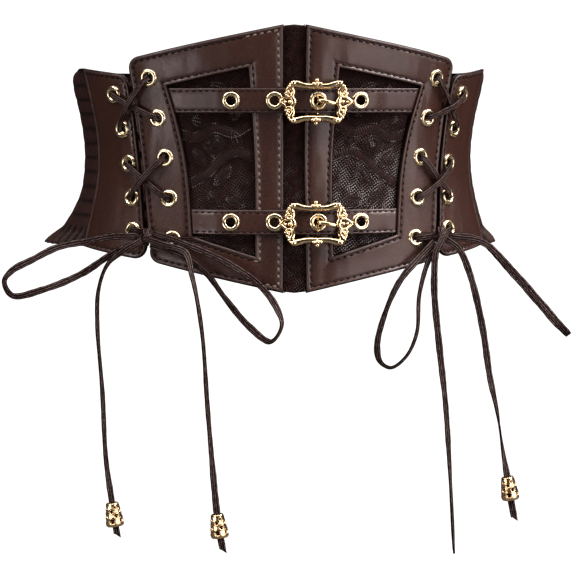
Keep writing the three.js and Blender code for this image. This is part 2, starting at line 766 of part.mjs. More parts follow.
function addSidePanels() {
  const rows = 8;
  const shares = [0, 0.07, 0.22, 0.45, 0.72, 1];
  const columns = shares.length - 1;
  for (const side of [-1, 1]) {
    const place = (column, row) => {
      const share = shares[side > 0 ? column : columns - column];
      const inset = Math.min(share * (SEAM_ALONG - sideFrontEdge(0)), SIDE_CORNER);
      const corner = SIDE_CORNER - Math.sqrt(SIDE_CORNER ** 2 - (SIDE_CORNER - inset) ** 2);
      const top = THREE.MathUtils.lerp(SIDE_TOP_FRONT, SIDE_TOP_SEAM, share) - corner;
      const bottom = THREE.MathUtils.lerp(SIDE_BOTTOM_FRONT, SIDE_BOTTOM_SEAM, share) + corner;
      const z = THREE.MathUtils.lerp(bottom, top, row / rows);
      return { along: side * THREE.MathUtils.lerp(sideFrontEdge(z), SEAM_ALONG, share), z };
    };
    const sheet = gridSheet(columns, rows, place, () => 0, () => SIDE_THICKNESS);
    const seats = side > 0 ? SIDE_ROW : SIDE_ROW.map(mirrored);
    add(side < 0 ? "side_panel_left" : "side_panel_right", punch(sheet, seats, SIDE_THICKNESS), LEATHER);
  }
}

// The elastic back: gathers all the way down, and a hem that stands out in ruffles.
function addBack() {
  const heights = [SIDE_BOTTOM_SEAM, RUFFLE_TOP, ...BACK_ROWS, BACK_CURL_START, SIDE_TOP_SEAM];
  const length = 2 * (HALF_WAIST - SEAM_ALONG - GAP);
  const pleats = Math.round(length / PLEAT_PITCH);
  const columns = 2 * pleats;
  const place = (column, row) => {
    let along = SEAM_ALONG + GAP + (length * column) / columns;
    if (along > HALF_WAIST) along -= 2 * HALF_WAIST;
    return { along, z: heights[row], column };
  };
  const stand = (spot) => {
    const fromSeam = Math.abs(spot.along) - SEAM_ALONG;
    const fade = smooth(GAP, BACK_FADE, fromSeam);
    const below = Math.max(0, (BACK_FLARE_START - spot.z) / (BACK_FLARE_START - SIDE_BOTTOM_SEAM));
    const above = Math.max(0, (spot.z - BACK_CURL_START) / (SIDE_TOP_SEAM - BACK_CURL_START));
    const fromBack = spot.along > 0 ? HALF_WAIST - spot.along : -HALF_WAIST - spot.along;
    const rightward = smooth(-HALF_WAIST, HALF_WAIST, 2 * fromBack);
    const flareOut = THREE.MathUtils.lerp(BACK_FLARE_OUT.left, BACK_FLARE_OUT.right, rightward);
    const flare = flareOut * below ** BACK_FLARE_CURVE - BACK_TOP_CURL * above;
    const hem = smooth(SIDE_BOTTOM_SEAM, RUFFLE_TOP, spot.z);
    const depth = THREE.MathUtils.lerp(RUFFLE_DEPTH, PLEAT_DEPTH, hem);
    const zigzag = spot.column % 2 === 0 ? -1 : 1;
    const edge = spot.column === 0 || spot.column === columns ? 0 : 1;
    return flare * fade + RUFFLE_DEPTH * (1 - hem) * edge + depth * zigzag * edge + GAP;
  };
  const face = (spot) => stand(spot) + ELASTIC_THICKNESS;
  add("back_elastic", gridSheet(columns, heights.length - 1, place, stand, face), LEATHER);
}

// How the lacing passes an eyelet, and how far out its strands cross, in front and behind.
const LACE_OFF_CENTRE = 0.45;
const SIDE_BACK_OUT = -0.9;
const LACE_BEHIND = 2.2;
const BORE_FRONT = 1.2;
const BORE_BACK = 0.2;
const CROSSING = { behindTop: -3.4, behindOver: -3, behindUnder: -6, frontOver: 10.2, frontUnder: 6.9 };

// One lace a side, from the knot up and back down through both rows of eyelets.
function lacingRoute(side) {
  const front = (i) => ({ ...FRONT_ROW[i], out: PANEL_FRONT });
  const rear = (i) => ({ ...SIDE_ROW[i], out: SIDE_THICKNESS });
  const upward = [rear(4), front(3), rear(2), front(1), rear(0)];
  const downward = [front(0), rear(1), front(2), rear(3), front(4)];
  const stops = [...upward, ...downward];
  const topStrandRises = side < 0;
  const flangeTop = GAP + FLANGE_HEIGHT;
  const route = [];
  const put = (along, z, out, face) => route.push({ spot: onBody(side * along, z, out), face });
  const knot = side < 0 ? KNOT_LEFT : KNOT_RIGHT;
  stops.forEach((stop, i) => {
    // The lace comes out of the first eyelet towards the knot, so it goes in at even stops.
    const from = stops[i - 1] ?? knot;
    const to = stops[i + 1] ?? knot;
    const goesIn = i % 2 === 0;
    const before = new THREE.Vector2(stop.along - from.along, stop.z - from.z).normalize();
    const after = new THREE.Vector2(to.along - stop.along, to.z - stop.z).normalize();
    const rim = BORE_RADIUS * LACE_OFF_CENTRE;
    const back = stop.out === PANEL_FRONT ? 0 : SIDE_BACK_OUT;
    const frontOut = stop.out + flangeTop + LACE_THICKNESS / 2 + GAP;
    const legs = goesIn
      ? [[before, -rim, frontOut], [after, rim, back - LACE_BEHIND]]
      : [[before, -rim, back - LACE_BEHIND], [after, rim, frontOut]];
    if (i === 0) put(...knotEnd(stop, knot));
    const ends = [stop.out + BORE_FRONT, back + BORE_BACK];
    const inner = goesIn ? ends : ends.reverse();
    const [first, second] = legs;
    put(stop.along + first[0].x * first[1], stop.z + first[0].y * first[1], first[2]);
    for (const out of inner) put(stop.along, stop.z, out);
    put(stop.along + second[0].x * second[1], stop.z + second[0].y * second[1], second[2]);
    if (i === stops.length - 1) {
      put(...knotEnd(stop, knot));
      return;
    }
    const middle = lerpPlace(stop, to, 0.5);
    const risingPart = i < 4;
    const over = topStrandRises !== risingPart;
    const behind = i === 4 ? CROSSING.behindTop : over ? CROSSING.behindOver : CROSSING.behindUnder;
    const inFront = over ? CROSSING.frontOver : CROSSING.frontUnder;
    put(middle.along, middle.z, goesIn ? behind : inFront);
  });
  return route;
}

const KNOT_OUT = PANEL_FRONT + GAP + FLANGE_HEIGHT + KNOT_RADIUS - KNOT_BITE;

function knotEnd(stop, knot) {
  const direction = new THREE.Vector2(stop.along - knot.along, stop.z - knot.z).normalize();
  const away = KNOT_RADIUS - KNOT_BITE / 2;
  return [knot.along + direction.x * away, knot.z + direction.y * away, KNOT_OUT - KNOT_END_BACK];
}

// The broad face turns with the route, so that the lace bends over each eyelet's rim.
function lacingFaces(spots) {
  const faces = [];
  let across = null;
  spots.forEach((spot, i) => {
    const from = spots[Math.max(i - 2, 0)];
    const to = spots[Math.min(i + 2, spots.length - 1)];
    const next = spots[Math.min(i + 1, spots.length - 1)];
    const tangent = next.clone().sub(spots[Math.max(i - 1, 0)]).normalize();
    const rounder = (WAIST_HALF_WIDTH / WAIST_HALF_DEPTH) ** 2;
    const outward = new THREE.Vector3(spot.x, spot.y * rounder, 0).normalize();
    const way = to.clone().sub(from).projectOnPlane(outward);
    const wanted = outward.clone().cross(way).normalize();
    if (across && wanted.dot(across) < 0) wanted.negate();
    across = across ? across.lerp(wanted, 0.5).normalize() : wanted;
    faces.push(tangent.clone().cross(across).normalize());
  });
  return faces;
}

function addLacing() {
  for (const side of [-1, 1]) {
    const spots = lacingRoute(side).map((point) => point.spot);
    const geometry = laceGeometry(spots, lacingFaces(spots), LACING_WIDTH, 6, 1);
    add(side < 0 ? "lacing_left" : "lacing_right", geometry, CORD);
  }
}

function vectors(list) {
  return list.map((values) => new THREE.Vector3(...values));
}

function addLooseLaces() {
  for (const side of [-1, 1]) {
    const knot = new THREE.SphereGeometry(KNOT_RADIUS, 8, 6);
    const place = side < 0 ? KNOT_LEFT : KNOT_RIGHT;
    const centre = onBody(side * place.along, place.z, KNOT_OUT);
    knot.translate(centre.x, centre.y, centre.z);
    add(side < 0 ? "bow_knot_left" : "bow_knot_right", knot, CORD);
  }
  for (const lace of LOOSE_LACES) {
    const geometry = laceGeometry(vectors(lace.points), vectors(lace.flat), LACE_WIDTH, 8, 1.3);
    add(lace.name, geometry, CORD);
  }
  for (const bead of BEADS) {
    const [top, foot] = vectors([bead.top, bead.foot]);
    const section = [
      [BEAD_BORE, 0], [BEAD_TOP_RADIUS, 0],
      [BEAD_NECK_RADIUS, -BEAD_LENGTH * BEAD_NECK_SHARE],
      [BEAD_BOTTOM_RADIUS, -BEAD_LENGTH * BEAD_WIDEST_SHARE],
      [BEAD_FOOT_RADIUS, -BEAD_LENGTH], [BEAD_BORE, -BEAD_LENGTH], [BEAD_BORE, 0],
    ].map(([radius, height]) => new THREE.Vector2(radius, height));
    const barrel = new THREE.LatheGeometry(section, BEAD_SIDES);
    const upward = top.clone().sub(foot).normalize();
    const turn = new THREE.Quaternion().setFromUnitVectors(new THREE.Vector3(0, 1, 0), upward);
    barrel.applyMatrix4(new THREE.Matrix4().compose(top, turn, new THREE.Vector3(1, 1, 1)));
    add(bead.name, barrel, GOLD);
  }
}

addFrontPanels();
addBackings();
addStraps();
addEyelets();
addBuckles();
addSidePanels();
addBack();
addLacing();
addLooseLaces();

export default belt;
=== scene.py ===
"""Dresses a corset belt: faux leather panels, lace windows, gilt buckles, laces and an elastic back."""
import math

import bmesh
import bpy
import numpy as np
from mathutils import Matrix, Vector


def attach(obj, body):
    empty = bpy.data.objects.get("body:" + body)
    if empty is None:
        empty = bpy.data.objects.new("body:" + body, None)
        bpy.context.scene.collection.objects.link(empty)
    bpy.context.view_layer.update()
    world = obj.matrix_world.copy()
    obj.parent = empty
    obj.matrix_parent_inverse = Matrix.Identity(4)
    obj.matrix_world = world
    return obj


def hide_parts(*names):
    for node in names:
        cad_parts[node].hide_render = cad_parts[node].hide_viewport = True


bl_info = {
    "name": "Corset belt",
    "version": (1, 0, 0),
    "blender": (4, 5, 0),
    "location": "3D View > Sidebar > Belt",
    "description": "Builds a laced corset belt over its packed frame",
    "category": "Object",
}

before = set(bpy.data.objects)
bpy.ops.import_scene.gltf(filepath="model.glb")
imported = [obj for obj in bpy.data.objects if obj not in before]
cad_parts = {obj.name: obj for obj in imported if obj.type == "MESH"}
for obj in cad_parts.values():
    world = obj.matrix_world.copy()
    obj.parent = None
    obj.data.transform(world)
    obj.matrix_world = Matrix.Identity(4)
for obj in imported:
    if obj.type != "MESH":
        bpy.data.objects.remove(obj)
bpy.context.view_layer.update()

# Lengths below are millimetres, and a mesh is turned to metres when it is made.
MM = 0.001
WAIST_HALF_WIDTH = 129.5
WAIST_HALF_DEPTH = 93.0
FLARE_ABOVE = 22.0
FLARE_BELOW = 24.0
FLARE_HEIGHT = 70.0
DEPTH_FLARE_SHARE = 0.35
BACK_FLARE_SHARE = 0.75

GAP = 0.3
PANEL_BACK = 1.5
PANEL_FRONT = 3.9
PANEL_CORNERS = ((6.2, -84.8), (86.6, -65.0), (100.5, 64.0), (6.2, 85.5))
PANEL_OUTER = 100.5
PANEL_TAPER = 14.5
PANEL_ROUND = 9.0
WINDOW_CORNERS = ((23.0, -61.0), (60.4, -48.3), (76.3, 46.5), (27.0, 57.7))
SIDE_SLIT = 3.0
SIDE_OUT = 2.5
SIDE_ROUND = 7.0
SEAM_ALONG = 141.0
SIDE_TOP_SEAM = 58.5
RIGHT_REACH = 4.4
FRONT_ROW = ((87.5, 52.0), (85.4, 26.3), (82.3, 1.0), (78.0, -25.0), (72.5, -51.0))
SIDE_ROW = ((116.3, 41.5), (114.0, 19.0), (110.5, -3.0), (105.5, -25.0), (100.5, -46.0))

STRAPS = {"upper": 37.5, "lower": -39.6}
STRAP_HALF = 8.0
STRAP_THICK = 2.0
BUCKLE_ALONG = 13.75
BUCKLE_SHIFT = -1.5
BUCKLE_FRONT = 11.3
BAR_LIFT = 1.7

BORE = 2.9
FLANGE = 5.8
LACE_WIDTH = 4.4
LACE_THICK = 1.7
LACING_WIDTH = 4.0
FOLDS = 3
KNOT_CENTRES = {"left": (-93.7, -83.0, -49.6), "right": (97.1, -81.0, -49.6)}
KNOT_PLACES = {"left": (-86.5, -49.6), "right": (85.6, -49.6)}
KNOT_RADIUS = 5.2
BEADS = {
    "bead_left_a": ((-116.3, -83.0, -220.5), (-114.7, -83.0, -232.0)),
    "bead_left_b": ((-50.0, -101.0, -226.0), (-48.5, -101.0, -237.0)),
    "bead_right_b": ((142.0, -83.0, -208.0), (144.5, -83.0, -223.0)),
}

SIDES = (("left", -1), ("right", 1))
LOOK_AHEAD = 0.3
HOLE_RADIUS = 3.3
PUNCH_REACH = 7
TURN = 2 * math.pi

# Each loose lace: the ways its broad face turns along it, and the places it runs through.
FRONTWARD = (0, -1, 0)
LOOSE_LACES = {
    "loop_left_a": ((FRONTWARD, FRONTWARD, (-0.85, -0.5, -0.2), FRONTWARD, FRONTWARD), (
        (-99.4, -82.5, -48.8), (-115, -82, -49), (-131, -81, -52), (-150, -79, -56), (-166, -76, -64),
        (-179, -74, -71), (-184, -73, -78), (-179, -74, -87), (-159, -77, -83), (-135, -81, -73),
        (-115, -84, -60), (-99.5, -84.8, -53.5))),
    "loop_left_b": ((FRONTWARD, FRONTWARD, (0.85, -0.5, -0.3), (-0.3, -0.8, -0.6), FRONTWARD), (
        (-88.5, -86, -47), (-70, -97, -53), (-43, -104, -65), (-23, -107, -79), (-12, -108, -94),
        (-9, -108, -105), (-16, -108, -115), (-30, -107, -105), (-45, -105, -87), (-57, -103, -71),
        (-73, -99, -60), (-91, -88, -54))),
    "tail_left_a": ((FRONTWARD, (0.9, -0.5, 0), (0.9, -0.45, 0), (0.6, -0.8, 0), FRONTWARD), (
        (-96.6, -87.6, -51.3), (-107, -88.7, -57), (-118, -88, -66), (-124, -86, -82), (-125, -84, -105),
        (-122, -83, -149), (-120, -83, -192), (-116.5, -83, -219), (-115, -83, -230), (-113, -83, -242))),
    "tail_left_b": ((FRONTWARD, FRONTWARD, (0.9, -0.4, 0), (0.8, -0.6, 0), FRONTWARD, FRONTWARD), (
        (-93, -89, -50.5), (-82, -96, -54), (-70, -102, -58), (-66, -106, -72), (-63, -107, -86),
        (-59, -105, -113), (-56, -102, -155), (-52, -101, -204), (-50, -101, -225), (-48.5, -101, -237),
        (-46, -101, -250))),
    "loop_right_a": ((FRONTWARD, (-0.8, -0.6, 0), (0, -0.4, -0.9), (0.9, -0.4, 0), FRONTWARD), (
        (92.5, -85.5, -53.5), (83, -91, -62), (68, -95, -79), (58, -95, -102), (54, -95, -120),
        (56, -95, -130), (63, -95, -134), (73, -94, -127), (80, -93, -112), (82, -92, -86),
        (90, -89, -62), (98, -86.5, -55))),
    "loop_right_b": (((0, 1, 0), (0.66, 0, -0.75), (0, -1, 0)), (
        (103, -79.8, -49.3), (124, -79, -53), (142, -78, -71), (161, -77, -92), (176, -77, -109),
        (182, -82, -115), (176, -88, -109), (161, -89, -92), (142, -89, -71), (124, -88, -54),
        (104, -84.5, -50.5))),
    "tail_right_a": ((FRONTWARD, FRONTWARD, FRONTWARD, (0.5, -0.8, 0), (1, -0.25, 0)), (
        (97.6, -87.2, -50.2), (92.5, -91.5, -60), (91.5, -92, -73), (92, -90, -88), (96, -88, -124),
        (100, -88, -159), (103, -88, -202), (106, -88, -256))),
    "tail_right_b": ((FRONTWARD, FRONTWARD, FRONTWARD, (1, -0.2, 0), FRONTWARD, FRONTWARD), (
        (100.4, -86.4, -51.8), (108, -88.5, -58), (116, -86, -75), (125, -83, -110), (130, -83, -142),
        (135, -83, -165), (139, -83, -191), (142, -83, -208), (144.5, -83, -223), (147, -83, -236))),
}


# The body that the belt is worn on.
def arc_table():
    angles = np.linspace(0.0, math.pi, 721)
    middle = (angles[1:] + angles[:-1]) / 2
    across = WAIST_HALF_WIDTH * np.cos(middle)
    inward = WAIST_HALF_DEPTH * np.sin(middle)
    steps = np.hypot(across, inward) * (angles[1] - angles[0])
    return angles, np.concatenate([[0.0], np.cumsum(steps)])


ANGLES, ARCS = arc_table()
HALF_WAIST = float(ARCS[-1])


def smooth_step(low, high, value):
    share = np.clip((np.asarray(value, float) - low) / (high - low), 0.0, 1.0)
    return share * share * (3.0 - 2.0 * share)


def on_body(along, z, out=0.0):
    """Points at lengths along the waist and heights, at distances out from the body."""
    along, z, out = np.broadcast_arrays(*[np.asarray(value, float) for value in (along, z, out)])
    along = np.where(along > HALF_WAIST, along - 2 * HALF_WAIST, along)
    along = along + RIGHT_REACH * (smooth_step(25.0, 85.0, along) - smooth_step(150.0, 300.0, along))
    angle = np.sign(along) * np.interp(np.abs(along), ARCS, ANGLES)
    flare = np.where(z > 0, FLARE_ABOVE, FLARE_BELOW) * np.tanh(z / FLARE_HEIGHT) ** 2
    back = smooth_step(math.pi / 2, math.pi, np.abs(angle))
    share = DEPTH_FLARE_SHARE + (BACK_FLARE_SHARE - DEPTH_FLARE_SHARE) * back
    wide = WAIST_HALF_WIDTH + flare
    deep = WAIST_HALF_DEPTH + flare * share
    nx = np.sin(angle) / wide
    ny = -np.cos(angle) / deep
    size = np.hypot(nx, ny)
    x = wide * np.sin(angle) + nx / size * out
    y = -deep * np.cos(angle) + ny / size * out
    return np.stack([x, y, z], -1)


def unit(vectors):
    vectors = np.asarray(vectors, float)
    return vectors / np.maximum(np.linalg.norm(vectors, axis=-1, keepdims=True), 1e-9)


def body_normal(along, z):
    along = np.asarray(along, float)
    z = np.asarray(z, float)
    sideways = on_body(along + 0.5, z) - on_body(along - 0.5, z)
    upward = on_body(along, z + 0.5) - on_body(along, z - 0.5)
    return unit(np.cross(sideways, upward))


TAPER_TOP = 15.0
TAPER_HEIGHT = 71.0
TAPER_CURVE = 1.6


def panel_edge(z):
    """How far along the front panel's outer edge is at a height: it tapers in below."""
    share = np.clip((TAPER_TOP - np.asarray(z, float)) / TAPER_HEIGHT, 0.0, 1.0)
    return PANEL_OUTER - PANEL_TAPER * share ** TAPER_CURVE


def side_edge(z):
    return panel_edge(z) + SIDE_SLIT


WINDOW_LOW = -48.3
WINDOW_HEIGHT = 94.8
WINDOW_EDGE_LOW = 60.4
WINDOW_LEAN = 15.9


def window_edge(z):
    """How far along the window's outer edge is at a height."""
    share = (np.asarray(z, float) - WINDOW_LOW) / WINDOW_HEIGHT
    return WINDOW_EDGE_LOW + WINDOW_LEAN * share


STRAP_SINKS = (45.0, 58.0)
BAR_REACH = 12.0
STRAP_EYELET_PITCH = 25.7
STRAP_EYELET_SHIFT = 0.9


def strap_back(along):
    """How far out the strap's back lies: on the panels, over the buckle's bar, and low in the windows."""
    drop = smooth_step(*STRAP_SINKS, np.abs(along))
    bump = np.exp(-(((np.asarray(along, float) - BUCKLE_ALONG) / BAR_REACH) ** 4))
    return (PANEL_FRONT + GAP) * (1 - drop) + (PANEL_BACK + 0.1) * drop + BAR_LIFT * bump


def strap_seats():
    return [step * STRAP_EYELET_PITCH + STRAP_EYELET_SHIFT for step in (-1.5, -0.5, 0.5, 1.5)]


def spline(points, spacing):
    """The smooth route through the points, and for each place on it its share of the way."""
    points = np.asarray(points, float)
    padded = np.vstack([2 * points[0] - points[1], points, 2 * points[-1] - points[-2]])
    route = []
    shares = []
    last = len(points) - 1
    for i in range(last):
        p0, p1, p2, p3 = padded[i:i + 4]
        d0, d1, d2 = [max(math.sqrt(np.linalg.norm(gap)), 1e-4) for gap in np.diff(padded[i:i + 4], axis=0)]
        t1 = ((p1 - p0) / d0 - (p2 - p0) / (d0 + d1) + (p2 - p1) / d1) * d1
        t2 = ((p2 - p1) / d1 - (p3 - p1) / (d1 + d2) + (p3 - p2) / d2) * d1
        steps = max(2, int(round(np.linalg.norm(p2 - p1) / spacing)))
        for t in np.arange(steps) / steps:
            square = (3 * (p2 - p1) - 2 * t1 - t2) * t ** 2
            cube = (2 * (p1 - p2) + t1 + t2) * t ** 3
            route.append(p1 + t1 * t + square + cube)
            shares.append((i + t) / last)
    route.append(points[-1])
    shares.append(1.0)
    return np.array(route), np.array(shares)


def lengths_along(route):
    steps = np.linalg.norm(np.diff(route, axis=0), axis=1)
    return np.concatenate([[0.0], np.cumsum(steps)])


def resample(route, pitch, closed=False):
    """Evenly spaced places on a route, with the way that it runs there."""
    route = np.asarray(route, float)
    if closed:
        route = np.vstack([route, route[:1]])
    run = lengths_along(route)
    count = max(2, int(round(run[-1] / pitch)))
    wanted = (np.arange(count) + 0.5) * run[-1] / count

    def at(lengths):
        return np.stack([np.interp(lengths, run, column) for column in route.T], -1)

    return at(wanted), unit(at(wanted + LOOK_AHEAD) - at(wanted - LOOK_AHEAD))


# Making meshes.
class Shell:
    """Gathers points and faces of one piece, in millimetres, with named values at its points."""

    def __init__(self):
        self.points = []
        self.faces = []
        self.values = {}
        self.count = 0

    def add(self, points, faces, **values):
        points = np.asarray(points, float).reshape(-1, 3)
        for face in faces:
            self.faces.append(tuple(int(i) + self.count for i in face))
        self.points.append(points)
        for name in set(self.values) | set(values):
            held = self.values.setdefault(name, [np.zeros(self.count)])
            held.append(np.broadcast_to(np.asarray(values.get(name, 0.0), float).ravel(), (len(points),)))
        self.count += len(points)

    def build(self, name, material):
        mesh = bpy.data.meshes.new(name)
        mesh.from_pydata((np.vstack(self.points) * MM).tolist(), [], self.faces)
        for key, held in self.values.items():
            attribute = mesh.attributes.new(key, "FLOAT", "POINT")
            attribute.data.foreach_set("value", np.concatenate(held).astype(np.float32))
        mesh.polygons.foreach_set("use_smooth", [True] * len(mesh.polygons))
        mesh.materials.append(material)
        mesh.update()
        piece = bpy.data.objects.new(name, mesh)
        bpy.context.scene.collection.objects.link(piece)
        return piece


# In metres, as a made mesh is.
MERGE_DISTANCE = 0.00001


def turn_outward(piece, merge=False):
    """Turns every face outward, once doubles are merged where that is asked."""
    mesh = bmesh.new()
    mesh.from_mesh(piece.data)
    if merge:
        bmesh.ops.remove_doubles(mesh, verts=mesh.verts, dist=MERGE_DISTANCE)
    bmesh.ops.recalc_face_normals(mesh, faces=mesh.faces)
    mesh.to_mesh(piece.data)
    mesh.free()
    return piece


def place_piece(piece, slot, *nodes):
    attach(piece, "root")
    if nodes:
        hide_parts(*nodes)
    return piece


def add_piece(shell, name, look, slot, *nodes):
    """A shell's piece with its faces outward, put in place of its CAD nodes; the slot is not used."""
    return place_piece(turn_outward(shell.build(name, look())), slot, *nodes)


def grid_faces(rows, columns, wrap_rows=False, wrap_columns=False, start=0):
    faces = []
    for row in range(rows if wrap_rows else rows - 1):
        for column in range(columns if wrap_columns else columns - 1):
            a = start + row * columns + column
            b = start + row * columns + (column + 1) % columns
            c = start + (row + 1) % rows * columns + (column + 1) % columns
            d = start + (row + 1) % rows * columns + column
            faces.append((a, b, c, d))
    return faces


def tube_mesh(shell, route, radius, sides=8, flat=1.0, up=(0, 0, 1), taper=None, **values):
    """A round or flattened bar along a route, closed at both ends."""
    route = np.asarray(route, float)
    tangent = unit(np.gradient(route, axis=0))
    up = np.broadcast_to(np.asarray(up, float), route.shape)
    across = unit(np.cross(up, tangent))
    normal = np.cross(tangent, across)
    size = np.broadcast_to(radius if taper is None else radius * np.asarray(taper), (len(route),))
    angles = np.arange(sides) * 2 * math.pi / sides
    ring = (np.cos(angles)[None, :, None] * across[:, None, :]
            + flat * np.sin(angles)[None, :, None] * normal[:, None, :])
    points = route[:, None, :] + ring * size[:, None, None]
    count = len(route)
    faces = grid_faces(count, sides, wrap_columns=True)
    ends = np.vstack([route[0] - tangent[0] * size[0] * 0.4, route[-1] + tangent[-1] * size[-1] * 0.4])
    low = count * sides
    for i in range(sides):
        after = (i + 1) % sides
        faces.append((low, after, i))
        faces.append((low + 1, (count - 1) * sides + i, (count - 1) * sides + after))
    shell.add(np.vstack([points.reshape(-1, 3), ends]), faces, **values)


def band_section(width, thickness, sides=24):
    """The folded strip's cut end: rounded edges, and folds that run down both of its faces."""
    angles = (np.arange(sides) + 0.5) * 2 * math.pi / sides
    u = np.sign(np.cos(angles)) * np.abs(np.cos(angles)) ** 0.7
    v = np.sign(np.sin(angles)) * np.abs(np.sin(angles)) ** 0.6
    folds = 0.4 * (0.5 - 0.5 * np.cos((u + 1) * FOLDS * math.pi - math.pi))
    return u * width / 2, v * (1 - folds) * thickness / 2


def face_ways(faces, shares):
    faces = np.asarray(faces, float)
    place = shares * (len(faces) - 1)
    low = np.minimum(place.astype(int), len(faces) - 2)
    part = (place - low)[:, None]
    return unit(faces[low] * (1 - part) + faces[low + 1] * part)


# A lace's slight swelling and leaning along its run, each wave as (size, waves a millimetre in radians).
SWELLS = ((0.05, 0.31), (0.03, 0.83))
LEAN = (0.12, 0.11)


def band_mesh(shell, route, ways, width, thickness, seed=0.0, slant=0.0):
    """A flat lace along a route, its broad face turned the given ways."""
    tangent = unit(np.gradient(route, axis=0))
    across = unit(np.cross(ways, tangent))
    up = np.cross(tangent, across)
    run = lengths_along(route)
    u, v = band_section(width, thickness)
    (broad, broad_rate), (fine, fine_rate) = SWELLS
    swell = 1 + broad * np.sin(run * broad_rate + seed) + fine * np.sin(run * fine_rate + 2 * seed)
    lean = LEAN[0] * np.sin(run * LEAN[1] + seed * 3)
    across_turned = across * np.cos(lean)[:, None] + up * np.sin(lean)[:, None]
    up_turned = up * np.cos(lean)[:, None] - across * np.sin(lean)[:, None]
    points = (route[:, None, :] + across_turned[:, None, :] * (u[None, :, None] * swell[:, None, None])
              + up_turned[:, None, :] * v[None, :, None])
    if slant:
        points[-1] += tangent[-1] * (u / width * slant)[:, None]
    sides = len(u)
    count = len(route)
    faces = grid_faces(count, sides, wrap_columns=True)
    faces.append(tuple(range(sides))[::-1])
    faces.append(tuple((count - 1) * sides + i for i in range(sides)))
    shell.add(points.reshape(-1, 3), faces, run=np.repeat(run * MM, sides),
              side=np.tile(u / width * 2, count))


# Shared shader effects.
class Nodes:
    """Adds and joins nodes of one tree in few words."""

    def __init__(self, tree):
        self.tree = tree

    def add(self, kind, settings=None, **inputs):
        node = self.tree.nodes.new(kind)
        for key, value in (settings or {}).items():
            setattr(node, key, value)
        self.fill(node.inputs, **inputs)
        return node

    def fill(self, targets, **values):
        """Sets or joins the named inputs, whose names have spaces for underscores."""
        for key, value in values.items():
            self.put(targets[key.replace("_", " ")], value)

    def put(self, target, value):
        if isinstance(value, bpy.types.NodeSocket):
            self.tree.links.new(value, target)
        else:
            target.default_value = value

    def maths(self, operation, *values, clamp=False):
        node = self.tree.nodes.new("ShaderNodeMath")
        node.operation = operation
        node.use_clamp = clamp
        for target, value in zip(node.inputs, values):
            self.put(target, value)
        return node.outputs[0]

    def times(self, first, second):
        return self.maths("MULTIPLY", first, second)

    def plus(self, first, second):
        return self.maths("ADD", first, second)

    def blend(self, share, low, high):
        node = self.tree.nodes.new("ShaderNodeMix")
        node.data_type = "RGBA"
        for index, value in ((0, share), (6, low), (7, high)):
            self.put(node.inputs[index], value)
        return node.outputs[2]

    def span(self, value, low, high, to_low, to_high):
        """A value's smooth change from one range to another."""
        node = self.tree.nodes.new("ShaderNodeMapRange")
        node.interpolation_type = "SMOOTHSTEP"
        for index, item in enumerate((value, low, high, to_low, to_high)):
            self.put(node.inputs[index], item)
        return node.outputs[0]

    def fade(self, share, at_nought, at_one):
        return self.span(share, 0.0, 1.0, at_nought, at_one)

    def noise(self, vector, scale, detail=3.0, roughness=0.55):
        return self.add("ShaderNodeTexNoise", Vector=vector, Scale=scale, Detail=detail,
                        Roughness=roughness).outputs[0]

    def bump(self, height, distance, strength):
        return self.add("ShaderNodeBump", Height=height, Distance=distance, Strength=strength).outputs[0]

    def attribute(self, name):
        return self.add("ShaderNodeAttribute", {"attribute_name": name}).outputs["Fac"]


FULL_WAVE = 6.283
SOCKET_KINDS = {type(None): "NodeSocketVector", float: "NodeSocketFloat", tuple: "NodeSocketColor"}


def group_tree(name, inputs, outputs):
    """A new shader group. Its inputs' kinds follow from their values, and its outputs are floats or Color."""
    tree = bpy.data.node_groups.new(name, "ShaderNodeTree")
    for label, value in inputs.items():
        made = tree.interface.new_socket(name=label, in_out="INPUT", socket_type=SOCKET_KINDS[type(value)])
        if value is not None:
            made.default_value = value
    for label in outputs:
        kind = SOCKET_KINDS[tuple if label == "Color" else float]
        tree.interface.new_socket(name=label, in_out="OUTPUT", socket_type=kind)
    nodes = Nodes(tree)
    return tree, nodes, nodes.add("NodeGroupInput").outputs, nodes.add("NodeGroupOutput").inputs


def grain_group():
    """Pebbled leather grain: flat islands between fine creases, with broad soft wrinkles."""
    inputs = {"Vector": None, "Density": 900.0}
    tree, n, given, out = group_tree("leather_grain", inputs, ("Height", "Crease"))
    bent = n.add("ShaderNodeVectorMath", {"operation": "SCALE"}, Vector=given[0], Scale=given[1]).outputs[0]
    cells = n.add("ShaderNodeTexVoronoi", {"feature": "DISTANCE_TO_EDGE"}, Vector=bent, Scale=1.0,
                  Randomness=1.0).outputs[0]
    island = n.span(cells, 0.0, 0.16, 0.0, 1.0)
    fine = n.plus(n.times(island, 0.5), n.times(n.noise(bent, 2.6, 2.0), 0.35))
    height = n.plus(fine, n.times(n.noise(bent, 0.06), 1.6))
    n.fill(out, Height=height, Crease=n.maths("SUBTRACT", 1.0, island))
    return tree


def tone_group():
    """Uneven colour: cloudy patches between two tones, and a finer mottle."""
    inputs = {"Vector": None, "Light": (1.0, 1.0, 1.0, 1.0), "Deep": (0.0, 0.0, 0.0, 1.0), "Density": 30.0}
    tree, n, given, out = group_tree("uneven_tone", inputs, ("Color", "Mask"))
    cloud = n.times(n.noise(given[0], given[3], 4.0, 0.5), 0.75)
    mask = n.span(n.plus(cloud, n.times(n.noise(given[0], 420.0, 2.0), 0.25)), 0.34, 0.66, 0.0, 1.0)
    n.fill(out, Color=n.blend(mask, given[1], given[2]), Mask=mask)
    return tree


